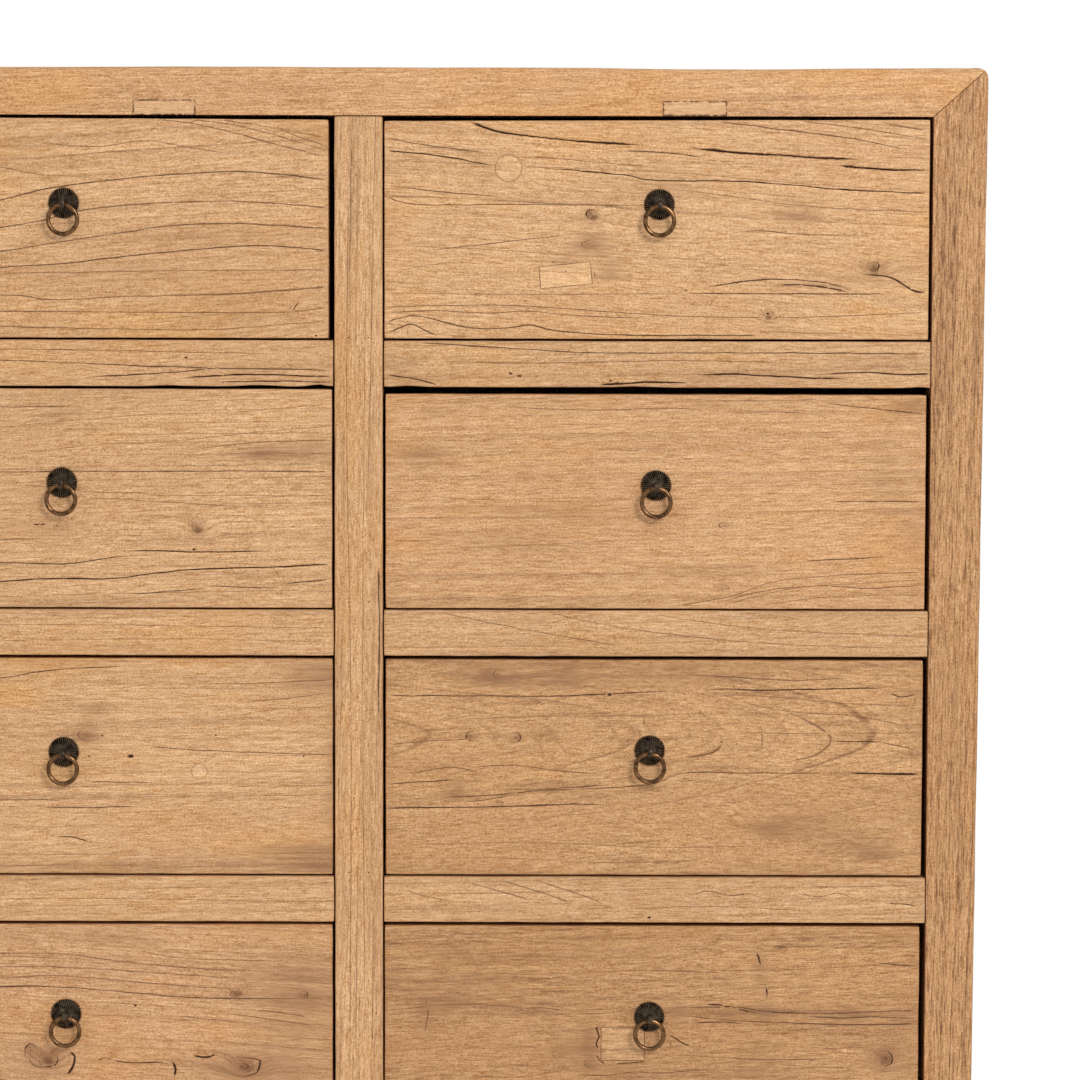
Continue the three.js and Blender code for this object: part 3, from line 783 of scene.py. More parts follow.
def smooth_line(points, step):
    """Points at about one step along a smooth curve through the given points."""
    ends = [points[0] * 2 - points[1], *points, points[-1] * 2 - points[-2]]
    line = []
    for a, b, c, d in zip(ends, ends[1:], ends[2:], ends[3:]):
        count = max(1, round((c - b).length / step))
        for i in range(count):
            t = i / count
            line.append(0.5 * (2 * b + (c - a) * t + (2 * a - 5 * b + 4 * c - d) * t * t
                               + (3 * b - a - 3 * c + d) * t ** 3))
    return line + [points[-1]]


# Loops around a board's worn edge: share of the arris inwards, share of it back, and rim, which paints
# shade on the edge.
ARRIS_LOOPS = ((0.0, 1.0, 1.0), (0.32, 0.30, 0.75), (1.0, 0.0, 0.30))
CORNER_WEAR = 0.5 * MM
OUTLINE_STEP = 5.5 * MM
FILL_STEP = 13 * MM
SPLIT_STEP = 3.6 * MM
OPEN_SPLIT = 0.9   # splits darker than this are open, and their sides are crisper
SPLIT_WANDER = 0.4 * MM
GROOVE_WIDTH = 0.5 * MM
GROOVE_DEPTH = 0.4 * MM
PLUG_SIDES = 26
PATCH_STEP = 4 * MM
PATCH_TONE = 0.6
DENT_SIDES = 16
DENT_SQUEEZE = 0.6

# Rings of a dent, from its rim to its heart: share of the radius, of the depth and of the tone, which
# paints shade into the hollow.
DENT_RINGS = ((1.0, 0.0, 0.0), (0.8, 0.3, 0.55), (0.5, 0.75, 0.85), (0.25, 1.0, 1.0))
EYE_SIDES = 22

# Rings of a knot's eye, from the outermost to its heart: share of its reach, and darkness.
EYE_RINGS = ((1.0, 1.0), (0.62, 0.55), (0.30, 0.75))

# Rings of points that hold a stain: share of its reach, and points in the ring.
STAIN_RINGS = ((0.0, 1), (0.5, 8), (1.0, 12), (1.6, 14))

# The lower left, lower right, upper right and upper left corner of a face.
CORNER_SIGNS = ((-1, -1), (1, -1), (1, 1), (-1, 1))


class Carving:
    """The front face of a board as a flat drawing with depths, which becomes one closed board.

    The drawing's points are (x, z) in the row frame; a depth is how far a point lies behind the face.
    Every point also has how dark its split is, and its share of rim, inlay and stain; rim and split both
    paint shade into the colour."""

    def __init__(self, corners, arris, wobble, seed, hollow=0.0, chips=()):
        self.points, self.edges, self.facts, self.inlays = [], [], [], []
        self.seed, self.hollow = seed, hollow
        outline = self.outline(corners, wobble, chips)
        self.count = len(outline)
        for inset, depth, rim in ARRIS_LOOPS:
            self.loop(self.inset(outline, inset * arris), depth * arris, rim=rim)
        inner = self.inset(outline, arris * 1.6)
        self.low = Vector((min(p.x for p in inner), min(p.y for p in inner)))
        self.high = Vector((max(p.x for p in inner), max(p.y for p in inner)))

    def add(self, point, depth=0.0, split=0.0, rim=0.0):
        """Adds one point and returns its number."""
        self.points.append(Vector(point[:2]))
        self.facts.append((depth, split, rim))
        return len(self.points) - 1

    def outline(self, corners, wobble, chips):
        """The board's edge, which wanders inwards by up to the wobble and more at its chips."""
        outline = []
        for side, (a, b) in enumerate(zip(corners, corners[1:] + corners[:1])):
            along = (b - a).normalized()
            inward = Vector((-along.y, along.x))
            length = (b - a).length
            count = max(3, int(length / OUTLINE_STEP))
            for i in range(count):
                spot = a + along * (length * i / count)
                push = wobble * wave(self.seed + side * 9.1, i * length / count * 38)
                push += 0.25 * wobble * wave(self.seed + side * 4.3, i * length / count * 260)
                if i == 0:
                    push += CORNER_WEAR
                for edge, middle, reach, depth in chips:
                    if edge == side:
                        share = (i / count - middle) / reach
                        ragged = 0.45 + wave(self.seed + 2.2, i * 0.43)
                        push += depth * ragged * math.exp(-share * share * 2)
                diagonal = inward if i else (inward + along).normalized()
                outline.append(spot + diagonal * push)
        return outline

    def inset(self, outline, distance):
        """The outline, moved inwards."""
        count = len(outline)
        moved = []
        for i, point in enumerate(outline):
            along = (outline[(i + 1) % count] - outline[i - 1]).normalized()
            moved.append(point + Vector((-along.y, along.x)) * distance)
        return moved

    def close(self, first):
        """Joins the points from the given one to the last into a closed loop."""
        count = len(self.points) - first
        self.edges += [(first + i, first + (i + 1) % count) for i in range(count)]

    def loop(self, points, depth, split=0.0, rim=0.0):
        first = len(self.points)
        for point in points:
            self.add(point, depth, split, rim)
        self.close(first)

    def inlay_at(self, point):
        """1 inside an inlaid plug or patch, and on its joint."""
        for outline in self.inlays:
            within = False
            for a, b in zip(outline, outline[1:] + outline[:1]):
                if (a.y > point.y) != (b.y > point.y):
                    if point.x < a.x + (point.y - a.y) / (b.y - a.y) * (b.x - a.x):
                        within = not within
            if within or min((point - p).length for p in outline) < 0.05 * MM:
                return 1.0
        return 0.0

    def inside(self, point, margin):
        """Whether a point lies within the worn edges by at least the margin."""
        return (self.low.x + margin < point.x < self.high.x - margin
                and self.low.y + margin < point.y < self.high.y - margin)

    def split(self, points, width, depth, tone):
        """A crack or open grain line: a narrow groove that is darkest along its middle."""
        line = smooth_line([Vector(p) for p in points], SPLIT_STEP)
        seed = self.seed + points[0][0] * 90 + points[0][1] * 130
        rows = []
        runs_off = [not self.inside(end, 4 * MM) for end in (line[0], line[-1])]
        for i, point in enumerate(line):
            along = (line[min(i + 1, len(line) - 1)] - line[max(i - 1, 0)]).normalized()
            across = Vector((-along.y, along.x))
            t = i / (len(line) - 1)
            taper = min(1.0, 7 * (t + runs_off[0]) + 0.12, 7 * (1 - t + runs_off[1]) + 0.12)
            open_share = taper * (0.36 + 1.3 * wave(seed, i * 0.37) * wave(seed + 7, i * 0.09))
            middle = point + across * (SPLIT_WANDER * (wave(seed + 3, i * 0.23) - 0.5) * 2)
            if self.inside(middle, 0.4 * MM):
                ragged = 0.55 + 0.9 * wave(seed + 9, i * 0.9)
                rows.append((middle, across * (width / 2 * open_share), open_share, ragged))
        if len(rows) < 3:
            return
        left, centre, right = [], [], []
        soft_side = 1.6 if tone > OPEN_SPLIT else 2.1
        for i, (middle, half, share, ragged) in enumerate(rows):
            closed = 1.0
            if i in (0, len(rows) - 1):
                closed = 0.5 if runs_off[i > 0] else 0.0
            left.append(self.add(middle + half * ragged))
            # The middle's tone browns and darkens the split: dark grain, dirt and painted shade in its
            # depth.
            centre.append(self.add(middle, depth * share * closed, tone * closed * min(1.0, 0.45 + share)))
            right.append(self.add(middle - half * (soft_side - ragged)))
        for chain in (left, centre, right):
            self.edges += list(zip(chain, chain[1:]))
        for end in (0, -1):
            self.edges += [(left[end], centre[end]), (centre[end], right[end])]

    def groove(self, outline, tone):
        """A fine joint around an inlaid piece, such as a plug or a patch."""
        centre = sum(outline, Vector((0, 0))) / len(outline)
        for grow, depth, split in ((GROOVE_WIDTH, 0.0, 0.0), (0.0, GROOVE_DEPTH, tone),
                                   (-GROOVE_WIDTH, 0.0, 0.0)):
            self.loop([p + (p - centre).normalized() * grow for p in outline], depth, split)
        self.inlays.append(outline)

    def plug(self, centre, radius, tone):
        """A round wooden plug, such as one over a screw."""
        turn = 2 * math.pi / PLUG_SIDES
        self.groove([centre + Vector((math.cos(i * turn), math.sin(i * turn))) * radius
                     for i in range(PLUG_SIDES)], tone)

    def patch(self, centre, width, height, turn):
        """A rectangular piece let into the board to mend it."""
        ring = []
        corners = [Vector((sx * width / 2, sz * height / 2)) for sx, sz in CORNER_SIGNS]
        for a, b in zip(corners, corners[1:] + corners[:1]):
            count = max(2, int((b - a).length / PATCH_STEP))
            ring += [a + (b - a) * i / count for i in range(count)]
        cos, sin = math.cos(turn), math.sin(turn)
        self.groove([centre + Vector((p.x * cos - p.y * sin, p.x * sin + p.y * cos))
                     for p in ring], PATCH_TONE)

    def dent(self, centre, radius, depth, tone):
        """A hollow with soft sides, such as a nail hole, a nick or the bowl of a knot."""
        lean = Vector((0.55, -0.35)) * radius
        for share, how_deep, dark in DENT_RINGS:
            ring = []
            for i, angle in enumerate(around(DENT_SIDES)):
                reach = radius * share * (0.6 + 0.8 * wave(self.seed + centre[0] * 50, i * 0.9))
                spot = Vector((math.cos(angle) * reach, math.sin(angle) * reach * DENT_SQUEEZE))
                ring.append(centre + spot + lean * (1 - share) * 0.5)
            self.loop(ring, depth * how_deep, tone * dark)

    def eye(self, centre, reach, tone, heavy):
        """A knot: ragged rings around its heart, darkest on the side that heavy points to."""
        for share, strength in EYE_RINGS:
            tones = []
            ring = []
            for angle in around(EYE_SIDES):
                x, z = math.cos(angle), math.sin(angle)
                swell = share * (0.70 + 0.44 * wave(self.seed + centre.x * 70 + share, x * 1.1, z * 1.1)
                                 + 0.22 * wave(self.seed + share * 3, x * 4, z * 4))
                ring.append(centre + Vector((x * reach[0], z * reach[1])) * swell)
                side = 0.5 + 0.5 * math.cos(angle - heavy)
                broken = 0.55 + 0.75 * wave(self.seed + share * 7, angle * 2.2)
                tones.append(min(1.0, tone * strength * (0.28 + 0.72 * side ** 2) * broken))
            for grow, floor in ((1, 0), (0, 1), (-1, 0)):
                first = len(self.points)
                for point, dark in zip(ring, tones):
                    half = min(0.9 * MM * (0.35 + dark), 0.30 * share * min(reach))
                    out = (point - centre).normalized()
                    self.add(point + out * grow * half, floor * dark * 0.9 * MM, floor * dark)
                self.close(first)
        self.add(centre, 0.3 * MM, tone * 0.5)

    def hold(self, centre, reach):
        """Points around a small stain, so that the mesh can carry it."""
        for share, count in STAIN_RINGS:
            for angle in around(count):
                x, z = math.cos(angle + share) * reach[0], math.sin(angle + share) * reach[1]
                spot = centre + Vector((x, z)) * share
                if self.inside(spot, 1.5 * MM):
                    self.add(spot)

    def fill(self):
        """Scatters points over the face, so that it can dip and rise a little."""
        width, height = self.high.x - self.low.x, self.high.y - self.low.y
        columns, rows = int(width / FILL_STEP), int(height / FILL_STEP)
        for i in range(1, columns):
            for j in range(1, rows):
                x = self.low.x + (i + 0.4 * (wave(3.1, i * 2.3, j * 1.7) - 0.5)) * width / columns
                z = self.low.y + (j + 0.4 * (wave(5.7, i * 1.9, j * 2.9) - 0.5)) * height / rows
                if self.inside(Vector((x, z)), 2 * MM):
                    self.add((x, z))

    def board(self, name, face_y, back_y, stains=()):
        """The closed board: the carved face, the sides and a plain back."""
        points, _, faces, origins, _, _ = delaunay_2d_cdt(self.points, self.edges, [], 1, 1e-7)
        shape = bmesh.new()
        layers = [shape.verts.layers.float.new(n) for n in ("split", "rim", "inlay", "grey")]
        made = []
        place = {}
        for point, sources in zip(points, origins):
            facts = [self.facts[s] for s in sources] or [(0.0, 0.0, 0.0)]
            depth, split, rim = (max(f[k] for f in facts) for k in range(3))
            inlay = self.inlay_at(point)
            if rim == 0.0:
                depth += self.hollow * wave(self.seed + 8.8, point.x * 9, point.y * 15)
            vert = shape.verts.new((point.x, face_y + depth, point.y))
            grey = sum(a * math.exp(-((point.x - sx) / rx) ** 2 - ((point.y - sz) / rz) ** 2)
                       for (sx, sz), (rx, rz), a in stains)
            for layer, value in zip(layers, (split, rim, inlay, min(1.0, grey))):
                vert[layer] = value
            made.append(vert)
            for source in sources:
                place[source] = vert
        for face in faces:
            shape.faces.new([made[i] for i in face])
        rim_verts = [place[i] for i in range(self.count)]
        back = []
        for vert in rim_verts:
            behind = shape.verts.new((vert.co.x, back_y, vert.co.z))
            # Painted shade on the board's back and sides, through a high rim value.
            behind[layers[1]] = 0.8
            back.append(behind)
        for i in range(self.count):
            j = (i + 1) % self.count
            shape.faces.new((rim_verts[j], rim_verts[i], back[i], back[j]))
        shape.faces.new(back)
        return to_mesh(shape, name)


def corners_of(node):
    """The four corners of a node's front face, counterclockwise from the lower left."""
    low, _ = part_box(node)
    face = [v.co for v in NODES[node].data.vertices if v.co.y < low.y + 0.01 * MM]
    corners = [max(face, key=lambda c: sx * c.x + sz * c.z) for sx, sz in CORNER_SIGNS]
    return [Vector((c.x, c.z)) for c in corners]


class Marks:
    """Places marks on a board by their share of its width and height, moved up by a shift."""

    def __init__(self, node, shift=0.0):
        self.low, self.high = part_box(node)
        self.size = self.high - self.low
        self.shift = shift

    def at(self, u, v):
        return Vector((self.low.x + u * self.size.x, self.low.z + (v + self.shift) * self.size.z))

    def carve(self, carving, marks):
        for tone, width, line in marks.get("splits", ()):
            spread = (2.4 if tone < OPEN_SPLIT else 2.7) * width * MM
            depth = min(2.2, 1.3 * width) * MM * tone
            carving.split([self.at(u, v) for u, v in line], spread, depth, min(1.0, 1.25 * tone))
        for u, v, radius, tone in marks.get("plugs", ()):
            carving.plug(self.at(u, v), radius * MM, tone)
        for u, v, width, height, turn in marks.get("patches", ()):
            carving.patch(self.at(u, v), width * MM, height * MM, turn)
        for u, v, rx, rz, tone, heavy in marks.get("eyes", ()):
            carving.eye(self.at(u, v), (rx * MM, rz * MM), tone, math.radians(heavy))
        for u, v, radius, depth, tone in marks.get("dents", ()):
            carving.dent(self.at(u, v), radius * MM, depth * MM, tone)

    def stains(self, marks):
        """The stains' places, reaches and strengths, with one around every eye."""
        around_eyes = tuple((u, v, 1.2 * rx, 1.1 * rz, 0.7 * tone)
                            for u, v, rx, rz, tone, _ in marks.get("eyes", ()))
        return [(self.at(u, v), (rx * MM, rz * MM), amount)
                for u, v, rx, rz, amount in marks.get("stains", ()) + around_eyes]


# ---- what time left on each drawer front ----

# Every place is a share of the front's width and height, from its lower left corner, and a shift
# moves all of a front's marks up by such a share. Other lengths are in millimetres.
#   splits    darkness, width and the points that the split runs through
#   plugs     place, radius and darkness of the joint
#   patches   place, width, height and turn in radians
#   dents     place, radius, depth and darkness
#   eyes      place, reach both ways, darkness, and the direction of the darkest side in degrees
#   stains    place, reach both ways and strength
FRONT_MARKS = {
    "drawer_left_1": {
        "splits": (
            (0.51, 1.0, ((0.01, 0.4), (0.2, 0.52), (0.387, 0.618), (0.488, 0.678), (0.645, 0.727),
                (0.811, 0.754), (0.892, 0.747), (0.993, 0.72))),
            (0.43, 1.0, ((0.01, 0.28), (0.2, 0.4), (0.387, 0.495), (0.468, 0.53), (0.548, 0.579),
                (0.67, 0.61), (0.831, 0.621), (0.993, 0.594))),
            (0.43, 1.0, ((0.01, 0.2), (0.2, 0.3), (0.387, 0.386), (0.508, 0.436), (0.613, 0.475),
                (0.71, 0.51), (0.831, 0.52), (0.993, 0.5))),
            (0.51, 1.0, ((0.1, 0.24), (0.387, 0.317), (0.508, 0.337), (0.629, 0.372), (0.75, 0.401),
                (0.871, 0.421), (0.993, 0.401))),
            (0.35, 0.8, ((0.05, 0.22), (0.387, 0.288), (0.548, 0.298), (0.75, 0.308), (0.993, 0.312))),
            (0.41, 1.0, ((0.02, 0.17), (0.387, 0.194), (0.488, 0.174), (0.629, 0.189), (0.791, 0.199),
                (0.892, 0.214), (0.993, 0.234))),
            (0.41, 0.8, ((0.1, 0.11), (0.387, 0.12), (0.67, 0.118), (0.912, 0.12), (0.993, 0.14))),
            (0.37, 0.8, ((0.05, 0.06), (0.387, 0.051), (0.629, 0.041), (0.791, 0.041), (0.993, 0.081))),
            (0.41, 0.9, ((0.665, 0.99), (0.738, 0.975), (0.826, 0.93), (0.899, 0.88), (0.998, 0.82))),
            (0.37, 0.8, ((0.738, 0.99), (0.826, 0.965), (0.914, 0.91), (0.998, 0.85))),
            (0.41, 0.8, ((0.797, 0.99), (0.899, 0.95), (0.958, 0.9), (0.998, 0.87))),
            (0.35, 0.8, ((0.46, 0.883), (0.57, 0.866), (0.665, 0.892), (0.738, 0.866), (0.826, 0.83))),
            (0.33, 0.8, ((0.3, 0.79), (0.387, 0.776), (0.467, 0.74), (0.563, 0.73))),
            (0.34, 0.8, ((0.86, 0.97), (0.93, 0.94), (0.99, 0.91))),
            (0.95, 0.8, ((0.931, 0.118), (0.937, 0.14), (0.945, 0.172))),
            (0.85, 0.7, ((0.925, 0.125), (0.93, 0.14), (0.934, 0.155))),
        ),
        "dents": ((0.795, 0.155, 0.8, 0.5, 0.7), (0.976, 0.014, 1.2, 0.8, 0.9)),
        "stains": (
            (0.8, 0.46, 90, 10, 0.3), (0.7, 0.3, 110, 14, 0.3), (0.42, 0.86, 30, 14, 0.3),
            (0.8, 0.12, 60, 16, 0.25), (0.97, 0.9, 20, 12, 0.35),
        ),
    },
    "drawer_right_1": {
        "splits": (
            (1.0, 1.7, ((0.166, 0.967), (0.215, 0.93), (0.288, 0.907), (0.381, 0.886), (0.47, 0.875))),
            (0.6, 0.9, ((0.434, 0.849), (0.513, 0.841), (0.586, 0.821))),
            (1.0, 1.5, ((0.56, 0.862), (0.646, 0.841), (0.725, 0.829), (0.811, 0.816), (0.871, 0.813))),
            (1.0, 1.4, ((0.831, 0.784), (0.911, 0.767), (0.997, 0.764))),
            (0.9, 1.0, ((0.003, 0.846), (0.083, 0.829), (0.15, 0.803), (0.199, 0.78))),
            (0.5, 0.8, ((0.003, 0.902), (0.083, 0.87), (0.189, 0.837))),
            (0.45, 0.8, ((0.258, 0.821), (0.315, 0.813), (0.447, 0.784), (0.487, 0.777))),
            (0.85, 1.0, ((0.258, 0.776), (0.348, 0.759), (0.447, 0.737), (0.493, 0.715), (0.646, 0.712),
                (0.745, 0.696), (0.844, 0.675), (0.997, 0.659))),
            (0.5, 0.7, ((0.003, 0.691), (0.116, 0.659), (0.215, 0.642))),
            (0.5, 0.7, ((0.003, 0.64), (0.04, 0.61), (0.1, 0.602), (0.25, 0.605), (0.473, 0.602))),
            (0.45, 0.7, ((0.083, 0.398), (0.149, 0.415), (0.235, 0.439), (0.341, 0.468))),
            (0.3, 0.6, ((0.02, 0.3), (0.083, 0.33), (0.16, 0.345))),
            (0.34, 0.7, ((0.003, 0.203), (0.248, 0.197), (0.553, 0.203))),
            (0.8, 0.9, ((0.553, 0.203), (0.66, 0.203), (0.745, 0.203), (0.924, 0.203))),
            (0.45, 0.7, ((0.003, 0.138), (0.116, 0.146), (0.248, 0.146), (0.447, 0.114), (0.58, 0.098),
                (0.78, 0.098), (0.99, 0.12))),
            (0.6, 0.9, ((0.003, 0.02), (0.02, 0.034), (0.05, 0.062), (0.075, 0.034), (0.095, 0.012))),
            (0.55, 0.9, ((0.003, 0.07), (0.025, 0.087), (0.055, 0.099), (0.085, 0.088), (0.135, 0.055),
                (0.17, 0.043), (0.22, 0.044), (0.268, 0.058), (0.3, 0.04), (0.34, 0.028), (0.44, 0.014),
                (0.68, 0.014))),
            (0.42, 0.8, ((0.003, 0.113), (0.1, 0.122), (0.2, 0.112), (0.268, 0.122), (0.36, 0.1),
                (0.5, 0.09))), (0.9, 1.1, ((0.877, 0.293), (0.93, 0.276), (0.97, 0.22), (0.997, 0.211))),
            (0.6, 1.0, ((0.585, 0.227), (0.64, 0.252), (0.713, 0.269), (0.79, 0.26), (0.841, 0.235),
                (0.858, 0.213))),
            (0.6, 1.3, ((0.72, 0.243), (0.77, 0.243), (0.82, 0.229), (0.853, 0.212))),
            (0.5, 0.7, ((0.646, 0.485), (0.699, 0.488), (0.752, 0.475), (0.851, 0.468))),
            (0.5, 0.8, ((0.606, 0.984), (0.712, 0.951), (0.844, 0.911), (0.964, 0.854))),
            (0.42, 0.7, ((0.758, 0.985), (0.877, 0.951), (0.997, 0.902))),
            (0.42, 0.7, ((0.9, 0.985), (0.997, 0.94))),
            (0.36, 0.7, ((0.49, 0.69), (0.62, 0.65), (0.78, 0.6), (0.99, 0.575))),
            (0.7, 0.7, ((0.385, 0.26), (0.387, 0.285), (0.383, 0.31))),
            (0.6, 0.6, ((0.043, 0.01), (0.044, 0.05))),
        ),
        "plugs": ((0.228, 0.769, 10.6, 0.42),),
        "patches": ((0.333, 0.285, 41, 17.5, 0.1),),
        "dents": (
            (0.704, 0.113, 1.3, 1.0, 1.0), (0.554, 0.218, 1.2, 0.6, 0.5), (0.425, 0.802, 0.9, 0.5, 0.5),
            (0.333, 0.302, 0.9, 0.4, 0.5), (0.31, 0.345, 1.0, 0.4, 0.6),
        ),
        "eyes": (
            (0.38, 0.562, 4.0, 3.4, 1.0, 160), (0.897, 0.329, 4.4, 3.2, 0.9, 0),
            (0.704, 0.113, 4.5, 3.0, 0.45, 0), (0.378, 0.425, 7.0, 3.0, 0.5, 150),
        ),
        "shift": 0.006,
        "stains": (
            (0.375, 0.43, 16, 8, 0.8), (0.415, 0.31, 10, 9, 0.85), (0.755, 0.57, 17, 10, 0.8),
            (0.49, 0.71, 40, 10, 0.35), (0.33, 0.345, 18, 3, 0.7), (0.72, 0.225, 34, 4, 0.35),
            (0.92, 0.31, 26, 12, 0.5), (0.2, 0.77, 22, 12, 0.3), (0.82, 0.25, 22, 5, 0.4),
        ),
    },
    "drawer_left_2": {
        "splits": (
            (0.85, 1.0, ((0.01, 0.1), (0.2, 0.09), (0.387, 0.119), (0.488, 0.132), (0.589, 0.132),
                (0.67, 0.157), (0.75, 0.177), (0.811, 0.182), (0.912, 0.19), (0.997, 0.202))),
            (0.6, 0.8, ((0.15, 0.19), (0.387, 0.204), (0.448, 0.202), (0.516, 0.202), (0.597, 0.231),
                (0.645, 0.239), (0.67, 0.239))),
            (0.85, 1.0, ((0.613, 0.261), (0.69, 0.261), (0.73, 0.256), (0.831, 0.258), (0.892, 0.261))),
            (0.6, 0.7, ((0.629, 0.063), (0.71, 0.078), (0.771, 0.093))),
            (0.75, 0.8, ((0.771, 0.101), (0.851, 0.095), (0.904, 0.093))),
            (0.6, 0.8, ((0.912, 0.112), (0.997, 0.132))),
            (0.5, 0.8, ((0.02, 0.6), (0.2, 0.62), (0.387, 0.618), (0.52, 0.623), (0.67, 0.623),
                (0.831, 0.626), (0.997, 0.623))),
            (0.5, 0.7, ((0.2, 0.92), (0.387, 0.915), (0.524, 0.917))),
            (0.45, 0.7, ((0.75, 0.727), (0.871, 0.757), (0.993, 0.769))),
            (0.32, 0.7, ((0.387, 0.54), (0.448, 0.555), (0.55, 0.53), (0.64, 0.525), (0.7, 0.515),
                (0.99, 0.515))),
            (0.36, 0.7, ((0.54, 0.5), (0.613, 0.499), (0.67, 0.484), (0.73, 0.479), (0.831, 0.464),
                (0.91, 0.46))), (0.5, 0.7, ((0.3, 0.305), (0.387, 0.31), (0.468, 0.316))),
            (1.0, 1.3, ((0.446, 0.38), (0.458, 0.378), (0.476, 0.382))),
            (0.8, 0.8, ((0.456, 0.362), (0.461, 0.382), (0.468, 0.398))),
            (0.34, 0.6, ((0.42, 0.7), (0.55, 0.74), (0.7, 0.76), (0.85, 0.8), (0.99, 0.83))),
            (0.3, 0.6, ((0.39, 0.82), (0.5, 0.85), (0.65, 0.88), (0.8, 0.89), (0.99, 0.93))),
        ),
        "dents": ((0.745, 0.268, 1.6, 1.0, 0.9),),
        "eyes": ((0.752, 0.372, 4.6, 4.4, 0.55, 250), (0.5, 0.36, 10, 7, 0.22, 90)),
        "stains": (
            (0.9, 0.712, 26, 6, 0.75), (0.86, 0.7, 12, 5, 0.5), (0.97, 0.75, 16, 10, 0.4),
            (0.5, 0.89, 24, 5, 0.5), (0.46, 0.35, 24, 10, 0.25),
        ),
    },
    "drawer_right_2": {
        "splits": (
            (0.5, 0.8, ((0.821, 0.503), (0.9, 0.505), (0.99, 0.503))),
            (0.55, 0.8, ((0.775, 0.228), (0.85, 0.235), (0.934, 0.248))),
            (0.4, 0.7, ((0.004, 0.315), (0.09, 0.315))),
            (0.55, 0.8, ((0.807, 0.963), (0.9, 0.935), (0.993, 0.913))),
            (0.4, 0.7, ((0.2, 0.94), (0.38, 0.925), (0.52, 0.935), (0.6, 0.925))),
            (0.36, 0.6, ((0.63, 0.91), (0.72, 0.92), (0.83, 0.9))),
            (0.32, 0.6, ((0.55, 0.975), (0.7, 0.97), (0.8, 0.98))),
            (0.3, 0.6, ((0.08, 0.52), (0.3, 0.5), (0.46, 0.51))),
            (0.36, 0.6, ((0.64, 0.03), (0.76, 0.1), (0.9, 0.125), (0.99, 0.14))),
            (0.34, 0.6, ((0.7, 0.02), (0.83, 0.06), (0.99, 0.07))),
            (0.3, 0.6, ((0.1, 0.28), (0.3, 0.3), (0.5, 0.33))),
            (0.42, 0.8, ((0.62, 0.035), (0.7, 0.085), (0.8, 0.11), (0.9, 0.1), (0.99, 0.115))),
            (0.36, 0.8, ((0.55, 0.02), (0.64, 0.06), (0.72, 0.13), (0.84, 0.16), (0.99, 0.175))),
        ),
        "eyes": (
            (0.631, 0.39, 5.4, 2.6, 0.62, 180), (0.621, 0.1, 6.5, 2.6, 0.48, 20),
            (0.489, 0.392, 3.4, 1.6, 0.35, 90),
        ),
        "stains": (
            (0.28, 0.455, 60, 5, 0.55), (0.23, 0.32, 50, 5, 0.5), (0.6, 0.17, 60, 4, 0.45),
            (0.93, 0.62, 22, 30, 0.35), (0.07, 0.71, 22, 7, 0.7), (0.97, 0.95, 16, 4, 0.8),
            (0.96, 0.91, 20, 3, 0.6), (0.5, 0.96, 160, 5, 0.3), (0.98, 0.35, 12, 22, 0.35),
            (0.1, 0.92, 20, 7, 0.3),
        ),
    },
    "drawer_left_3": {
        "splits": (
            (0.6, 0.8, ((0.2, 0.87), (0.387, 0.905), (0.448, 0.932), (0.528, 0.951), (0.613, 0.961))),
            (0.42, 0.7, ((0.75, 0.879), (0.871, 0.885), (0.993, 0.9))),
            (0.42, 0.7, ((0.831, 0.8), (0.912, 0.813), (0.997, 0.844))),
            (0.5, 0.8, ((0.645, 0.6), (0.71, 0.58), (0.791, 0.57), (0.892, 0.562), (0.997, 0.554))),
            (0.5, 0.7, ((0.3, 0.34), (0.387, 0.341), (0.468, 0.343), (0.504, 0.336))),
            (0.55, 0.8, ((0.464, 0.31), (0.548, 0.307), (0.637, 0.315))),
            (0.4, 0.7, ((0.548, 0.427), (0.67, 0.424))),
            (0.38, 0.7, ((0.807, 0.406), (0.9, 0.41), (0.997, 0.412))),
            (0.85, 0.8, ((0.484, 0.171), (0.512, 0.173), (0.53, 0.163), (0.548, 0.148))),
            (0.34, 0.6, ((0.69, 0.83), (0.74, 0.821), (0.8, 0.83))),
            (0.3, 0.6, ((0.87, 0.76), (0.94, 0.77), (0.997, 0.775))),
        ),
        "plugs": ((0.752, 0.476, 6.2, 0.34),),
        "dents": (
            (0.625, 0.546, 3.0, 0.6, 0.8), (0.573, 0.64, 1.2, 0.7, 0.8), (0.783, 0.643, 1.1, 0.6, 0.7),
            (0.548, 0.546, 1.1, 0.6, 0.8), (0.945, 0.549, 1.1, 0.6, 0.8), (0.72, 0.515, 0.8, 0.5, 0.6),
        ),
        "eyes": ((0.548, 0.645, 8.5, 5.0, 0.55, 200),),
        "stains": (
            (0.97, 0.92, 26, 14, 0.9), (0.975, 0.07, 26, 12, 0.9), (0.54, 0.63, 12, 9, 0.6),
            (0.56, 0.75, 14, 8, 0.5), (0.6, 0.04, 190, 7, 0.55), (0.9, 0.1, 30, 8, 0.5),
            (0.5, 0.97, 60, 5, 0.4), (0.995, 0.5, 5, 60, 0.45),
        ),
    },
    "drawer_right_3": {
        "splits": (
            (0.6, 0.8, ((0.003, 0.83), (0.183, 0.83), (0.317, 0.83), (0.417, 0.841), (0.563, 0.86))),
            (0.85, 0.9, ((0.59, 0.866), (0.717, 0.86), (0.837, 0.866), (0.933, 0.871))),
            (0.42, 0.7, ((0.003, 0.604), (0.083, 0.621), (0.183, 0.633))),
            (0.65, 0.8, ((0.003, 0.421), (0.07, 0.432), (0.13, 0.442))),
            (0.65, 0.8, ((0.003, 0.309), (0.183, 0.316), (0.357, 0.329), (0.417, 0.326))),
            (0.5, 0.8, ((0.21, 0.396), (0.343, 0.399), (0.49, 0.421), (0.557, 0.476), (0.683, 0.476),
                (0.863, 0.476))), (1.0, 1.3, ((0.863, 0.476), (0.93, 0.474), (0.997, 0.472))),
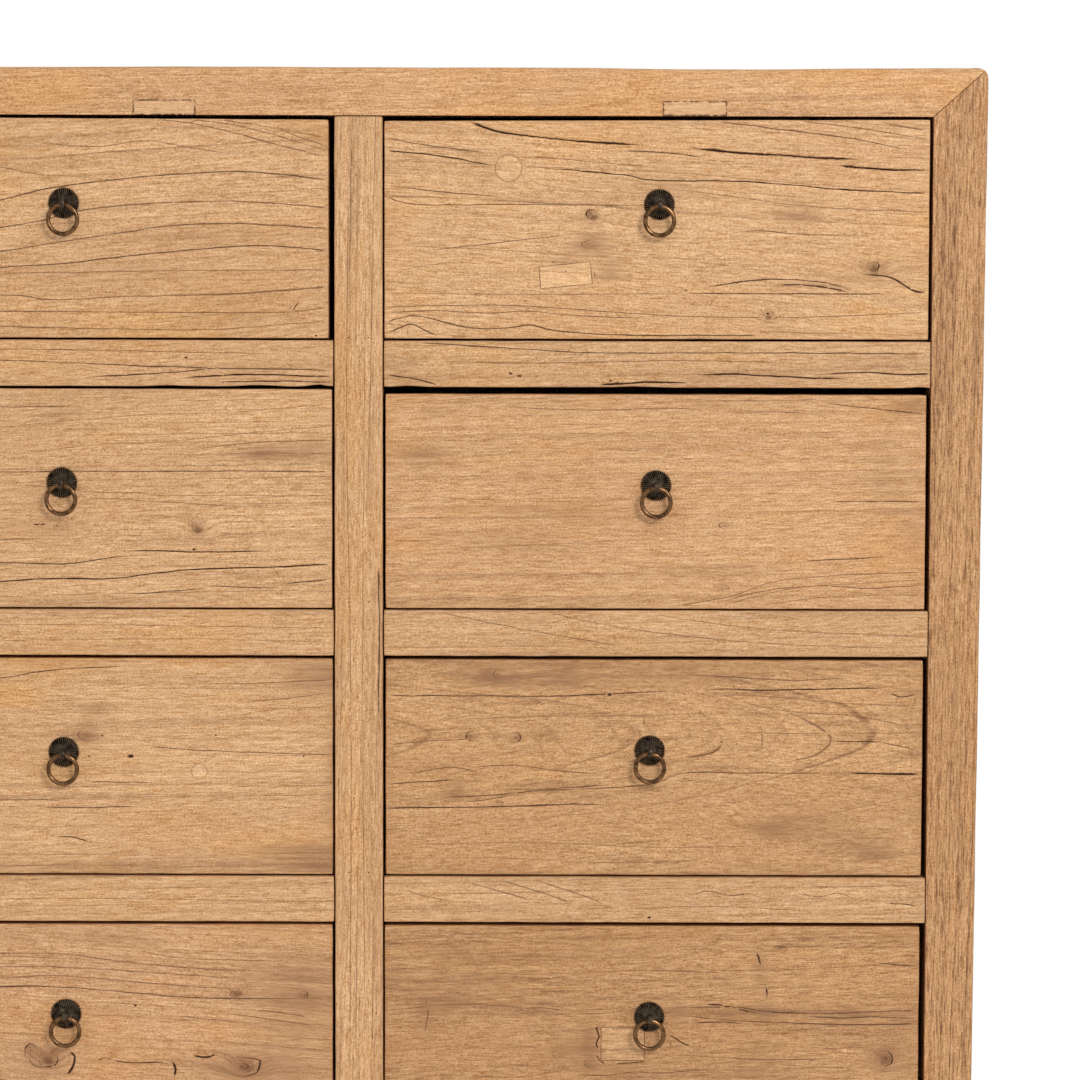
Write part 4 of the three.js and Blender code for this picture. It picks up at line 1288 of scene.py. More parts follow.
            (0.75, 0.8, ((0.83, 0.626), (0.88, 0.622), (0.923, 0.621))),
            (0.42, 0.7, ((0.923, 0.621), (0.96, 0.6), (0.997, 0.579))),
            (0.34, 1.7, ((0.717, 0.796), (0.783, 0.721), (0.817, 0.671), (0.83, 0.626), (0.803, 0.563),
                (0.75, 0.529))), (0.38, 1.4, ((0.557, 0.546), (0.61, 0.571), (0.627, 0.613))),
            (0.5, 1.6, ((0.48, 0.738), (0.482, 0.71), (0.481, 0.688))),
            (0.36, 1.5, ((0.7, 0.68), (0.702, 0.63), (0.7, 0.58))),
            (0.36, 0.8, ((0.65, 0.81), (0.75, 0.763), (0.883, 0.738), (0.983, 0.688))),
            (0.32, 0.8, ((0.6, 0.84), (0.72, 0.83), (0.85, 0.8), (0.99, 0.79))),
            (0.34, 0.7, ((0.65, 0.663), (0.8, 0.66), (0.997, 0.663))),
            (0.32, 0.6, ((0.1, 0.72), (0.3, 0.735), (0.45, 0.74), (0.62, 0.755))),
            (0.34, 0.6, ((0.02, 0.14), (0.3, 0.15), (0.5, 0.13), (0.7, 0.14))),
            (0.32, 0.6, ((0.003, 0.07), (0.2, 0.08), (0.4, 0.06), (0.6, 0.07))),
            (0.5, 0.9, ((0.1, 0.36), (0.2, 0.37), (0.3, 0.4), (0.42, 0.42))),
            (0.46, 0.9, ((0.14, 0.335), (0.2, 0.355), (0.26, 0.385), (0.36, 0.4))),
            (0.42, 0.9, ((0.16, 0.5), (0.24, 0.51), (0.32, 0.485), (0.4, 0.47))),
            (0.42, 0.9, ((0.05, 0.47), (0.12, 0.5), (0.18, 0.475))),
            (0.4, 0.9, ((0.55, 0.93), (0.65, 0.92), (0.75, 0.905), (0.86, 0.915))),
            (0.6, 0.7, ((0.935, 0.85), (0.96, 0.83), (0.99, 0.845))),
            (0.5, 0.7, ((0.985, 0.85), (0.984, 0.8), (0.975, 0.79))),
        ),
        "dents": ((0.417, 0.838, 2.2, 0.6, 0.8), (0.625, 0.62, 1.6, 0.4, 0.5)),
        "eyes": (
            (0.16, 0.643, 4.2, 4.0, 0.85, 200), (0.242, 0.638, 4.0, 3.8, 0.85, 0),
            (0.213, 0.93, 5.0, 4.0, 0.5, 180), (0.208, 0.335, 4.5, 2.2, 0.6, 0),
        ),
        "stains": (
            (0.72, 0.22, 16, 8, 0.55), (0.92, 0.13, 18, 8, 0.55), (0.13, 0.39, 8, 8, 0.6),
            (0.4, 0.36, 26, 6, 0.35), (0.32, 0.93, 70, 10, 0.8), (0.62, 0.95, 150, 7, 0.7),
            (0.2, 0.9, 24, 10, 0.6), (0.3, 0.4, 22, 4, 0.6), (0.13, 0.4, 12, 8, 0.4),
            (0.78, 0.24, 40, 14, 0.45), (0.9, 0.12, 30, 12, 0.4), (0.98, 0.85, 12, 10, 0.5),
            (0.5, 0.02, 200, 5, 0.3),
        ),
    },
    "drawer_left_4": {
        "splits": (
            (0.34, 0.9, ((0.1, 0.83), (0.387, 0.859), (0.508, 0.854), (0.629, 0.818), (0.75, 0.792),
                (0.892, 0.776))),
            (0.34, 0.9, ((0.05, 0.76), (0.387, 0.797), (0.508, 0.795), (0.67, 0.771), (0.791, 0.751),
                (0.932, 0.725))),
            (0.34, 0.9, ((0.05, 0.7), (0.387, 0.745), (0.488, 0.756), (0.629, 0.73), (0.75, 0.704),
                (0.892, 0.694))),
            (0.52, 0.9, ((0.05, 0.66), (0.387, 0.704), (0.488, 0.704), (0.629, 0.678), (0.75, 0.655),
                (0.985, 0.652))),
            (0.34, 0.8, ((0.629, 0.88), (0.69, 0.849), (0.75, 0.836), (0.912, 0.826))),
            (0.5, 0.7, ((0.795, 0.585), (0.871, 0.56), (0.972, 0.523))),
            (0.45, 0.7, ((0.859, 0.601), (0.91, 0.583), (0.952, 0.567))),
            (0.4, 0.7, ((0.71, 0.57), (0.77, 0.555), (0.823, 0.546))),
            (0.9, 1.7, ((0.508, 0.405), (0.518, 0.38), (0.516, 0.34), (0.504, 0.291))),
            (0.45, 0.9, ((0.44, 0.4), (0.435, 0.36), (0.45, 0.33), (0.48, 0.335))),
            (0.55, 1.0, ((0.565, 0.379), (0.613, 0.353), (0.67, 0.353), (0.698, 0.343))),
            (0.95, 1.6, ((0.738, 0.386), (0.762, 0.376), (0.783, 0.389))),
            (0.9, 1.6, ((0.7, 0.36), (0.706, 0.32), (0.703, 0.285))),
            (0.85, 1.0, ((0.56, 0.36), (0.575, 0.372), (0.59, 0.362))),
            (0.4, 0.7, ((0.05, 0.2), (0.3, 0.22), (0.5, 0.2), (0.75, 0.17), (0.99, 0.19))),
            (0.34, 0.7, ((0.05, 0.12), (0.3, 0.1), (0.6, 0.11), (0.99, 0.09))),
        ),
        "dents": ((0.632, 0.619, 1.4, 0.8, 0.9),),
        "eyes": (
            (0.82, 0.672, 4.6, 2.4, 0.6, 180), (0.945, 0.67, 3.2, 2.6, 0.7, 0),
            (0.437, 0.402, 5.0, 6.0, 0.85, 120), (0.47, 0.363, 7.5, 5.5, 0.95, 300),
            (0.83, 0.335, 15.0, 7.5, 1.0, 0), (0.61, 0.655, 4.0, 1.6, 0.4, 180),
        ),
        "stains": (
            (0.95, 0.72, 34, 22, 0.7), (0.93, 0.45, 40, 40, 0.55), (0.62, 0.93, 30, 6, 0.5),
            (0.46, 0.36, 28, 20, 0.45), (0.8, 0.34, 50, 18, 0.4), (0.8, 0.1, 60, 20, 0.3),
        ),
    },
    "drawer_right_4": {
        "splits": (
            (0.5, 1.0, ((0.54, 0.62), (0.559, 0.616), (0.652, 0.621), (0.719, 0.599), (0.819, 0.591),
                (0.997, 0.607))),
            (0.5, 1.0, ((0.55, 0.58), (0.652, 0.557), (0.753, 0.548), (0.853, 0.54), (0.997, 0.543))),
            (0.46, 0.7, ((0.753, 0.509), (0.8, 0.52), (0.853, 0.536))),
            (0.9, 1.0, ((0.53, 0.488), (0.545, 0.472), (0.56, 0.448), (0.575, 0.436))),
            (0.85, 0.8, ((0.538, 0.47), (0.535, 0.445), (0.54, 0.425))),
            (0.6, 0.8, ((0.92, 0.827), (0.96, 0.82), (0.997, 0.811))),
            (0.7, 1.3, ((0.695, 0.878), (0.7, 0.845), (0.704, 0.811))),
            (0.7, 1.1, ((0.713, 0.717), (0.715, 0.68), (0.713, 0.65))),
            (0.8, 1.3, ((0.405, 0.535), (0.397, 0.52), (0.402, 0.48), (0.396, 0.45), (0.401, 0.42))),
            (0.7, 1.1, ((0.397, 0.4), (0.402, 0.37), (0.415, 0.352))),
            (0.55, 1.0, ((0.43, 0.352), (0.46, 0.358), (0.49, 0.364))),
            (0.6, 1.2, ((0.6, 0.632), (0.64, 0.625), (0.68, 0.6), (0.7, 0.598))),
            (0.6, 1.0, ((0.58, 0.545), (0.63, 0.55), (0.67, 0.545))),
            (0.5, 0.9, ((0.79, 0.575), (0.86, 0.57), (0.93, 0.575), (0.99, 0.57))),
            (0.42, 0.9, ((0.24, 0.6), (0.29, 0.615), (0.34, 0.6))),
            (0.4, 0.9, ((0.075, 0.66), (0.082, 0.6), (0.078, 0.54), (0.074, 0.49))),
            (0.45, 0.8, ((0.36, 0.3), (0.42, 0.3), (0.47, 0.315), (0.52, 0.31), (0.6, 0.33))),
            (0.4, 0.8, ((0.54, 0.4), (0.62, 0.385), (0.72, 0.375), (0.84, 0.38))),
            (0.34, 0.7, ((0.003, 0.6), (0.15, 0.63), (0.3, 0.6), (0.38, 0.55))),
            (0.32, 0.7, ((0.05, 0.78), (0.25, 0.77), (0.5, 0.79), (0.7, 0.77))),
            (0.34, 0.7, ((0.1, 0.3), (0.25, 0.29), (0.35, 0.33))),
            (0.36, 0.7, ((0.02, 0.17), (0.3, 0.19), (0.6, 0.16), (0.97, 0.18))),
        ),
        "patches": ((0.446, 0.447, 35, 27, 0.0),),
        "eyes": (
            (0.739, 0.89, 5.5, 2.6, 0.75, 80), (0.936, 0.379, 6.5, 6.0, 0.9, 0),
            (0.33, 0.4, 6.5, 3.5, 0.4, 200), (0.385, 0.355, 4.5, 3.0, 0.55, 200),
        ),
        "stains": (
            (0.15, 0.72, 60, 20, 0.45), (0.075, 0.58, 7, 22, 0.6), (0.75, 0.59, 90, 8, 0.45),
            (0.36, 0.41, 22, 16, 0.6), (0.385, 0.45, 6, 18, 0.9), (0.55, 0.615, 9, 6, 0.8),
            (0.64, 0.575, 8, 4, 0.8), (0.715, 0.59, 9, 5, 0.8), (0.88, 0.59, 16, 5, 0.7),
            (0.97, 0.56, 12, 5, 0.8), (0.29, 0.6, 22, 8, 0.5), (0.44, 0.32, 30, 5, 0.6),
            (0.7, 0.8, 5, 16, 0.7), (0.715, 0.68, 4, 10, 0.7), (0.13, 0.88, 22, 8, 0.5),
            (0.12, 0.62, 12, 10, 0.5), (0.7, 0.43, 16, 14, 0.45), (0.02, 0.78, 8, 16, 0.5),
            (0.95, 0.38, 20, 14, 0.5), (0.7, 0.3, 60, 14, 0.35), (0.4, 0.9, 80, 10, 0.3),
        ),
    },
}


# The figure of each front: where the pith lay, how the rings run, and how strong each effect is.
# Painted shade: the tone and tint of the lower fronts make them darker, as the light falls off towards the
# bottom of the cabinet.
FRONT_FIGURES = {
    "drawer_left_1": {
        "seed": 1.3, "pith": (0, -0.17, 0.05), "tilt": (0, 0.06, 0.0), "spacing": 0.0125, "wander": 0.014,
        "rings": 0.44, "amber": 0.55, "blush": 0.55, "streak": 0.22,
    },
    "drawer_right_1": {
        "seed": 2.9, "pith": (0, 0.2, 0.04), "tilt": (0, -0.05, 0.02), "spacing": 0.0105, "wander": 0.016,
        "rings": 0.52, "amber": 0.5, "blush": 0.55, "streak": 0.22,
        "knots": (((0.173, -0.032), (0.016, 0.008), 0.007, 0.0036), ((0.089, -0.07),
            (0.012, 0.006), 0.005, 0.0024), ((-0.05, 0.009), (0.014, 0.007), 0.004, 0.0032)),
    },
    "drawer_left_2": {
        "seed": 4.1, "pith": (0, -0.15, 0.07), "tilt": (0, 0.03, 0.01), "spacing": 0.0058,
        "wander": 0.012, "rings": 0.62, "amber": 0.36, "blush": 0.6, "streak": 0.3,
        "knots": (((0.11, -0.025), (0.013, 0.008), 0.006, 0.0032), ((-0.003, -0.022),
            (0.02, 0.012), 0.005, 0.001)),
    },
    "drawer_right_2": {
        "seed": 5.7, "pith": (0, -0.16, 0.08), "tilt": (0, 0.02, 0.0), "spacing": 0.008,
        "tint": (0.94, 0.9, 0.87), "wander": 0.012, "rings": 0.34, "amber": 0.65, "blush": 0.5,
        "streak": 0.24,
    },
    "drawer_left_3": {
        "seed": 7.3, "pith": (0, 0.17, 0.08), "tilt": (0, 0.015, 0.0), "spacing": 0.0075, "wander": 0.01,
        "rings": 0.44, "amber": 0.65, "blush": 0.65, "streak": 0.3,
    },
    "drawer_right_3": {
        "seed": 8.9, "pith": (0, 0.03, 0.06), "tilt": (0, 0.02, 0.1), "spacing": 0.007,
        "tint": (0.92, 0.87, 0.8), "wander": 0.018, "rings": 0.48, "amber": 0.24, "blush": 0.55,
        "streak": 0.4, "fleck": 0.18, "tone": 0.95,
    },
    "drawer_left_4": {
        "seed": 10.1, "pith": (0, -0.16, 0.05), "tilt": (0, -0.05, 0.01), "spacing": 0.0085,
        "tint": (0.98, 0.94, 0.94), "wander": 0.012, "rings": 0.62, "amber": 0.5, "blush": 0.65,
        "streak": 0.28, "tone": 0.95,
        "knots": (((-0.014, -0.024), (0.015, 0.01), 0.01, 0.0042), ((0.146, -0.03),
            (0.018, 0.01), 0.01, 0.0052), ((0.14, 0.031), (0.01, 0.005), 0.004, 0.0038)),
    },
    "drawer_right_4": {
        "seed": 11.7, "pith": (0, 0.16, 0.09), "tilt": (0, 0.02, 0.02), "spacing": 0.008,
        "tint": (0.825, 0.765, 0.69), "wander": 0.018, "rings": 0.34, "amber": 0.2, "blush": 0.6,
        "streak": 0.48, "fleck": 0.36, "tone": 0.98,
        "knots": (((0.188, -0.022), (0.012, 0.007), 0.006, 0.005),),
    },
}


# The rails' and the stile's marks are given in the same way. A chip is the edge that it is in,
# counted from the lower one, its place along it, its reach as a share of it, and its depth in metres.
RAIL_MARKS = {
    "left_cross_rail_1": {
        "chips": ((0, 0.86, 0.05, 0.0012), (0, 0.97, 0.025, 0.0018), (0, 0.7, 0.04, 0.0008)),
        "splits": (
            (0.5, 0.9, ((0.05, 0.62), (0.4, 0.55), (0.7, 0.42), (0.99, 0.36))),
            (0.85, 1.3, ((0.72, 0.18), (0.85, 0.26), (0.99, 0.22))),
            (0.6, 0.9, ((0.55, 0.2), (0.7, 0.3), (0.8, 0.42))),
            (0.8, 1.0, ((0.8, 0.1), (0.9, 0.12), (0.99, 0.1))),
            (0.4, 0.7, ((0.2, 0.8), (0.5, 0.78), (0.9, 0.7))),
        ),
        "dents": ((0.73, 0.62, 1.6, 0.8, 0.6),),
        "stains": ((0.86, 0.3, 60, 9, 0.55), (0.98, 0.2, 10, 8, 0.6)),
    },
    "right_cross_rail_1": {
        "chips": ((0, 0.05, 0.03, 0.001), (0, 0.46, 0.05, 0.0007), (0, 0.98, 0.02, 0.001)),
        "splits": (
            (0.55, 0.8, ((0.05, 0.95), (0.14, 0.9), (0.28, 0.8), (0.4, 0.74), (0.7, 0.75), (0.99, 0.74))),
            (0.4, 0.7, ((0.1, 0.55), (0.3, 0.52), (0.55, 0.58), (0.8, 0.52))),
            (0.9, 1.3, ((0.57, 0.28), (0.64, 0.29), (0.7, 0.26), (0.78, 0.22), (0.85, 0.2))),
            (0.7, 1.0, ((0.8, 0.3), (0.88, 0.34), (0.95, 0.3), (0.995, 0.32))),
            (0.9, 1.3, ((0.4, 0.06), (0.46, 0.1), (0.5, 0.12), (0.55, 0.1))),
            (0.8, 1.1, ((0.003, 0.26), (0.03, 0.22), (0.07, 0.14), (0.095, 0.06))),
        ),
        "dents": (
            (0.232, 0.3, 2.0, 0.7, 0.6), (0.248, 0.25, 2.0, 0.8, 0.6), (0.415, 0.15, 1.6, 0.6, 0.6),
        ),
        "stains": ((0.03, 0.3, 20, 12, 0.4), (0.7, 0.25, 90, 6, 0.4), (0.9, 0.6, 60, 8, 0.3)),
    },
    "left_cross_rail_2": {
        "splits": (
            (0.34, 0.7, ((0.05, 0.6), (0.5, 0.66), (0.99, 0.6))),
            (0.3, 0.7, ((0.3, 0.3), (0.7, 0.36), (0.99, 0.3))),
        ),
        "stains": ((0.95, 0.9, 30, 6, 0.3),),
    },
    "right_cross_rail_2": {
        "splits": (
            (0.36, 0.8, ((0.1, 0.95), (0.25, 0.6), (0.45, 0.2))),
            (0.34, 0.8, ((0.3, 0.95), (0.45, 0.6), (0.7, 0.3), (0.95, 0.2))),
            (0.32, 0.8, ((0.5, 0.9), (0.7, 0.6), (0.99, 0.45))),
        ),
        "stains": ((0.3, 0.2, 60, 6, 0.3),),
    },
    "left_cross_rail_3": {"splits": ((0.3, 0.7, ((0.1, 0.4), (0.5, 0.5), (0.99, 0.44))),)},
    "right_cross_rail_3": {
        "splits": (
            (0.42, 0.8, ((0.16, 0.86), (0.22, 0.66), (0.27, 0.5))),
            (0.42, 0.8, ((0.22, 0.9), (0.29, 0.66), (0.35, 0.42))),
            (0.4, 0.8, ((0.28, 0.92), (0.36, 0.62), (0.41, 0.4))),
            (0.38, 0.8, ((0.04, 0.7), (0.08, 0.56), (0.13, 0.46))),
            (0.4, 0.8, ((0.57, 0.62), (0.6, 0.7), (0.64, 0.6), (0.68, 0.66))),
            (0.4, 0.8, ((0.76, 0.66), (0.8, 0.58), (0.84, 0.66), (0.87, 0.52))),
            (0.55, 0.8, ((0.93, 0.44), (0.96, 0.42), (0.985, 0.38))),
            (0.34, 0.7, ((0.45, 0.3), (0.6, 0.36), (0.8, 0.28))),
        ),
        "dents": ((0.49, 0.12, 1.8, 0.7, 0.7),),
        "stains": ((0.5, 0.5, 120, 8, 0.3),),
    },
    "centre_stile": {
        "splits": (
            (0.35, 0.7, ((0.3, 0.02), (0.34, 0.4), (0.26, 0.7), (0.3, 0.98))),
            (0.3, 0.7, ((0.62, 0.1), (0.58, 0.5), (0.66, 0.9))),
            (0.55, 0.9, ((0.9, 0.42), (0.92, 0.5), (0.9, 0.56))),
        ),
        "dents": tuple((u, v, 0.9, 0.6, 0.8) for v in (0.265, 0.53, 0.787) for u in (0.3, 0.7)),
        "stains": ((0.85, 0.5, 5, 60, 0.4), (0.15, 0.25, 5, 50, 0.3)),
    },
    "bottom_front_rail": {
        "splits": (
            (0.4, 0.7, ((0.05, 0.5), (0.3, 0.6), (0.6, 0.5), (0.95, 0.55))),
            (0.5, 0.8, ((0.5, 0.2), (0.7, 0.26), (0.9, 0.2))),
        ),
        "chips": ((0, 0.7, 0.04, 0.0015),),
    },
}



# ---- building the pieces ----

def carved_piece(node, marks, sizes, arris, seed, material, slot, body):
    """A board with a carved face in the place of a node of the frame."""
    name = node + "_elm"
    low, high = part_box(node)
    carving = Carving(corners_of(node), arris, sizes.wobble, seed, sizes.hollow, marks.get("chips", ()))
    places = Marks(node, marks.get("shift", 0.0))
    stains = places.stains(marks)
    places.carve(carving, marks)
    for place, reach, _ in stains:
        carving.hold(place, reach)
    carving.fill()
    mesh = carving.board(name, low.y, high.y, stains)
    soften(add_piece(name, mesh, material, slot, body, (node,)), 0.75)


def build_frame(sizes):
    """The four posts and the four top rails, which meet in three-way mitres."""
    post = {"spacing": 0.0048, "wander": 0.006, "rings": 0.55, "fleck": 0.58, "streak": 0.40,
            "blush": 0.30, "amber": 0.28, "tone": 0.90, "tint": (0.88, 0.80, 0.72)}
    rail = {"spacing": 0.0085, "wander": 0.008, "rings": 0.34, "fleck": 0.10, "streak": 0.24,
            "blush": 0.30, "amber": 0.50, "tint": (0.97, 0.93, 0.89)}
    seed = 20.0
    for end, side_y in (("front", -1), ("back", 1)):
        for side, side_x in (("left", -1), ("right", 1)):
            seed += 1.7
            build_frame_member(sizes, f"{end}_{side}_post", "post", side_x, side_y, "z", "frame_elm",
                               seed, **post)
        seed += 1.7
        strips = TOP_STRIPS if end == "front" else ()
        build_frame_member(sizes, f"top_{end}_rail", "x", 1, side_y, "x", "rail_elm", seed,
                           strips=strips, **rail)
    for side, side_x in (("left", -1), ("right", 1)):
        seed += 1.7
        build_frame_member(sizes, f"top_{side}_rail", "y", side_x, 1, "y_side", "rail_elm", seed,
                           **rail)


def build_low_rails(sizes):
    """The three bottom rails that aren't seen from the front."""
    for index, name in enumerate(("bottom_back_rail", "bottom_left_rail", "bottom_right_rail")):
        along = "x" if name == "bottom_back_rail" else "y_side"
        material = elm_material(name, along, centre_of(name), seed=31 + index * 1.9, tone=0.96)
        shape = copy_of(name)
        wear_edges(shape, sizes.arris, sizes.wobble, 31 + index)
        mesh = to_mesh(shape, name)
        soften(add_piece(name + "_elm", mesh, material, "rail_elm", "carcass", (name,)))


def copy_of(node):
    """A CAD node's own mesh as a new shape, with its flat faces made whole."""
    shape = bmesh.new()
    shape.from_mesh(NODES[node].data)
    bmesh.ops.remove_doubles(shape, verts=shape.verts[:], dist=1e-6)
    bmesh.ops.dissolve_limit(shape, angle_limit=0.01, verts=shape.verts[:], edges=shape.edges[:])
    return shape


def build_partitions(sizes):
    """The centre stile, the cross rails and the bottom front rail, carved with their marks."""
    stile = {"spacing": 0.0062, "wander": 0.005, "rings": 0.60, "fleck": 0.16, "streak": 0.45,
             "amber": 0.50, "blush": 0.35}
    rail = {"spacing": 0.0085, "wander": 0.007, "rings": 0.42, "fleck": 0.10, "streak": 0.26,
            "amber": 0.45, "blush": 0.45}
    for index, (name, marks) in enumerate(RAIL_MARKS.items()):
        upright = name == "centre_stile"
        seed = 40 + index * 2.3
        tone = 0.93 if name.startswith("right") else 1.0
        material = elm_material(name, "z" if upright else "x", centre_of(name), seed=seed, tone=tone,
                                **(stile if upright else rail))
        slot = "frame_elm" if upright else "rail_elm"
        carved_piece(name, marks, sizes, sizes.arris, seed, material, slot, "carcass")


# For each panel: how its grain runs, the axis that its boards lie side by side on, and their count.
PANEL_BOARDS = {
    "top_panel": ("x", 1, 3), "back_panel": ("z", 0, 5), "left_side_panel": ("z_side", 1, 2),
    "right_side_panel": ("z_side", 1, 2), "bottom_panel": ("x", 1, 3),
}
BOARD_TONES = (0.93, 0.99, 0.88, 0.96, 0.90)
PANEL_ARRIS = 1.2 * MM
PANEL_TONGUE = 0.65 * MM   # how far a panel's boards reach into the frame and into each other


def build_panels():
    """Each panel is glued up from boards, with a fine joint between them."""
    for index, (node, (along, across, count)) in enumerate(PANEL_BOARDS.items()):
        low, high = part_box(node)
        slot = "inner_wood" if node == "bottom_panel" else "panel_elm"
        lengthwise = 0 if along == "x" else 2
        for board in range(count):
            seed = 60 + index * 7.1 + board * 1.37
            a, b = low.copy(), high.copy()
            span = high[across] - low[across]
            a[across] = low[across] + span * board / count
            b[across] = low[across] + span * (board + 1) / count
            name = f"{node}_board_{board + 1}"
            origin = (a + b) / 2 + Vector((0.01, 0.01, 0.01)) * board
            for axis in (across, lengthwise):
                a[axis] -= PANEL_TONGUE
                b[axis] += PANEL_TONGUE
            if slot == "inner_wood":
                material = inner_material(name, along, origin, seed)
            else:
                material = elm_material(name, along, origin, seed=seed, tone=BOARD_TONES[board],
                                        spacing=0.008, wander=0.03, rings=0.40)
            shape = block_shape(a, b)
            if node.endswith("side_panel"):
                lean_panel(shape, node)
            wear_edges(shape, PANEL_ARRIS, PLAIN_WOBBLE, seed)
            replaced = (node,) if board == 0 else ()
            soften(add_piece(name, to_mesh(shape, name), material, slot, "carcass", replaced))


def lean_panel(shape, node):
    """Moves the corners of a side panel's board onto the faces of the frame's leaning panel."""
    low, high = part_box(node)
    sign = 1 if low.x > 0 else -1
    corners = [v.co for v in NODES[node].data.vertices]
    thickness = min(abs(v.x - w.x) for v in corners for w in corners
                    if abs(v.z - w.z) < 1e-5 and abs(v.x - w.x) > 1 * MM)
    foot = max(abs(v.x) for v in corners if abs(v.z - low.z) < 1e-5)
    head = max(abs(v.x) for v in corners if abs(v.z - high.z) < 1e-5)
    for vert in shape.verts:
        share = (vert.co.z - low.z) / (high.z - low.z)
        outer = foot + (head - foot) * share
        is_outer = abs(vert.co.x) > abs((low.x + high.x) / 2)
        vert.co.x = sign * (outer if is_outer else outer - thickness)


RUNNER = 20 * MM
RUNNER_ARRIS = 0.7 * MM


def build_runner_frames():
    """Three runners, a rear bearer and three guide strips under each row of drawers."""
    stile_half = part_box("centre_stile")[1].x
    for row in ROWS:
        node = f"runner_frame_{row}"
        low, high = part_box(node)
        top = low.z + RUNNER
        xs = sorted({round(v.co.x, 5) for v in NODES[node].data.vertices})
        near = [x for x in xs if x > stile_half + 1 * MM]
        middle, inner, outer = near[0], near[1], high.x
        bearer_y = max(v.co.y for v in NODES[node].data.vertices if v.co.y < high.y - 1 * MM)
        strips = {
            "rear_bearer": ((-outer, bearer_y, low.z), (outer, high.y, top), "x"),
            "left_runner": ((-outer, low.y, low.z), (-inner, bearer_y, top), "y"),
            "right_runner": ((inner, low.y, low.z), (outer, bearer_y, top), "y"),
            "middle_runner": ((-middle, low.y, low.z), (middle, bearer_y, top), "y"),
            "left_guide": ((-outer, low.y, top), (-POST_INNER, high.y, high.z), "y"),
            "right_guide": ((POST_INNER, low.y, top), (outer, high.y, high.z), "y"),
            "middle_guide": ((-stile_half, low.y, top), (stile_half, high.y, high.z), "y"),
        }
        for index, (part, (a, b, along)) in enumerate(strips.items()):
            seed = 100 + row * 11.3 + index * 1.9
            replaced = (node,) if index == 0 else ()
            plain_board(f"{part}_{row}", a, b, along, "carcass", replaced, RUNNER_ARRIS, seed)


def build_fronts(sizes):
    """The eight drawer fronts, carved with their marks."""
    for drawer in DRAWERS:
        node = f"{drawer}_front"
        figure = FRONT_FIGURES[drawer]
        material = elm_material(node, "x", centre_of(node), **figure)
        carved_piece(node, FRONT_MARKS[drawer], sizes, sizes.front_arris, figure["seed"], material,
                     "drawer_front_elm", drawer)


BOARD = 12 * MM         # thickness of a drawer's sides and back
BOTTOM = 8 * MM         # thickness of its bottom
BOTTOM_LIFT = 6 * MM    # from the lower edge of the sides to the bottom
BACK_DROP = 12 * MM     # from the upper edge of the sides to that of the back
BOX_ARRIS = 0.6 * MM


def build_boxes():
    """Two sides, a back between them and a bottom of two boards, for each drawer."""
    for index, drawer in enumerate(DRAWERS):
        node = f"{drawer}_box"
        low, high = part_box(node)
        inside = (low.x + BOARD, high.x - BOARD)
        split = (low.y + high.y - BOARD) / 2
        bottom = (low.z + BOTTOM_LIFT, low.z + BOTTOM_LIFT + BOTTOM)
        parts = {
            "left_side": (low, (low.x + BOARD, high.y, high.z), "y_side"),
            "right_side": ((high.x - BOARD, low.y, low.z), high, "y_side"),
            "back": ((inside[0], high.y - BOARD, low.z + BOTTOM_LIFT),
                     (inside[1], high.y, high.z - BACK_DROP), "x"),
            "bottom_near": ((inside[0], low.y, bottom[0]), (inside[1], split, bottom[1]), "x"),
            "bottom_far": ((inside[0], split, bottom[0]), (inside[1], high.y - BOARD, bottom[1]), "x"),
        }
        for number, (part, (a, b, along)) in enumerate(parts.items()):
            seed = 150 + index * 13.7 + number * 2.1
            replaced = (node,) if number == 0 else ()
            plain_board(f"{drawer}_{part}", a, b, along, drawer, replaced, BOX_ARRIS, seed)


# ---- pulls ----

ROSETTE_RINGS = 16
ROSETTE_RIM = 0.9 * MM    # how far the rim stands above the front
ROSETTE_DOME = 4.5 * MM   # how far the middle does
ROSETTE_LEAST = 0.25 * MM
FLUTE_STEPS = 6
TOOTH = 1.0 * MM          # how deep the rim is cut between two flutes


def pull_centre(drawer):
    """The middle of the rosette on the face of its front, and its radius."""
    low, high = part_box(f"{drawer}_rosette")
    rim = [v.co for v in NODES[f"{drawer}_rosette"].data.vertices if abs(v.co.x - low.x) < 0.05 * MM]
    z = sum(c.z for c in rim) / len(rim)
    return Vector(((low.x + high.x) / 2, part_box(f"{drawer}_front")[0].y, z)), (high.x - low.x) / 2


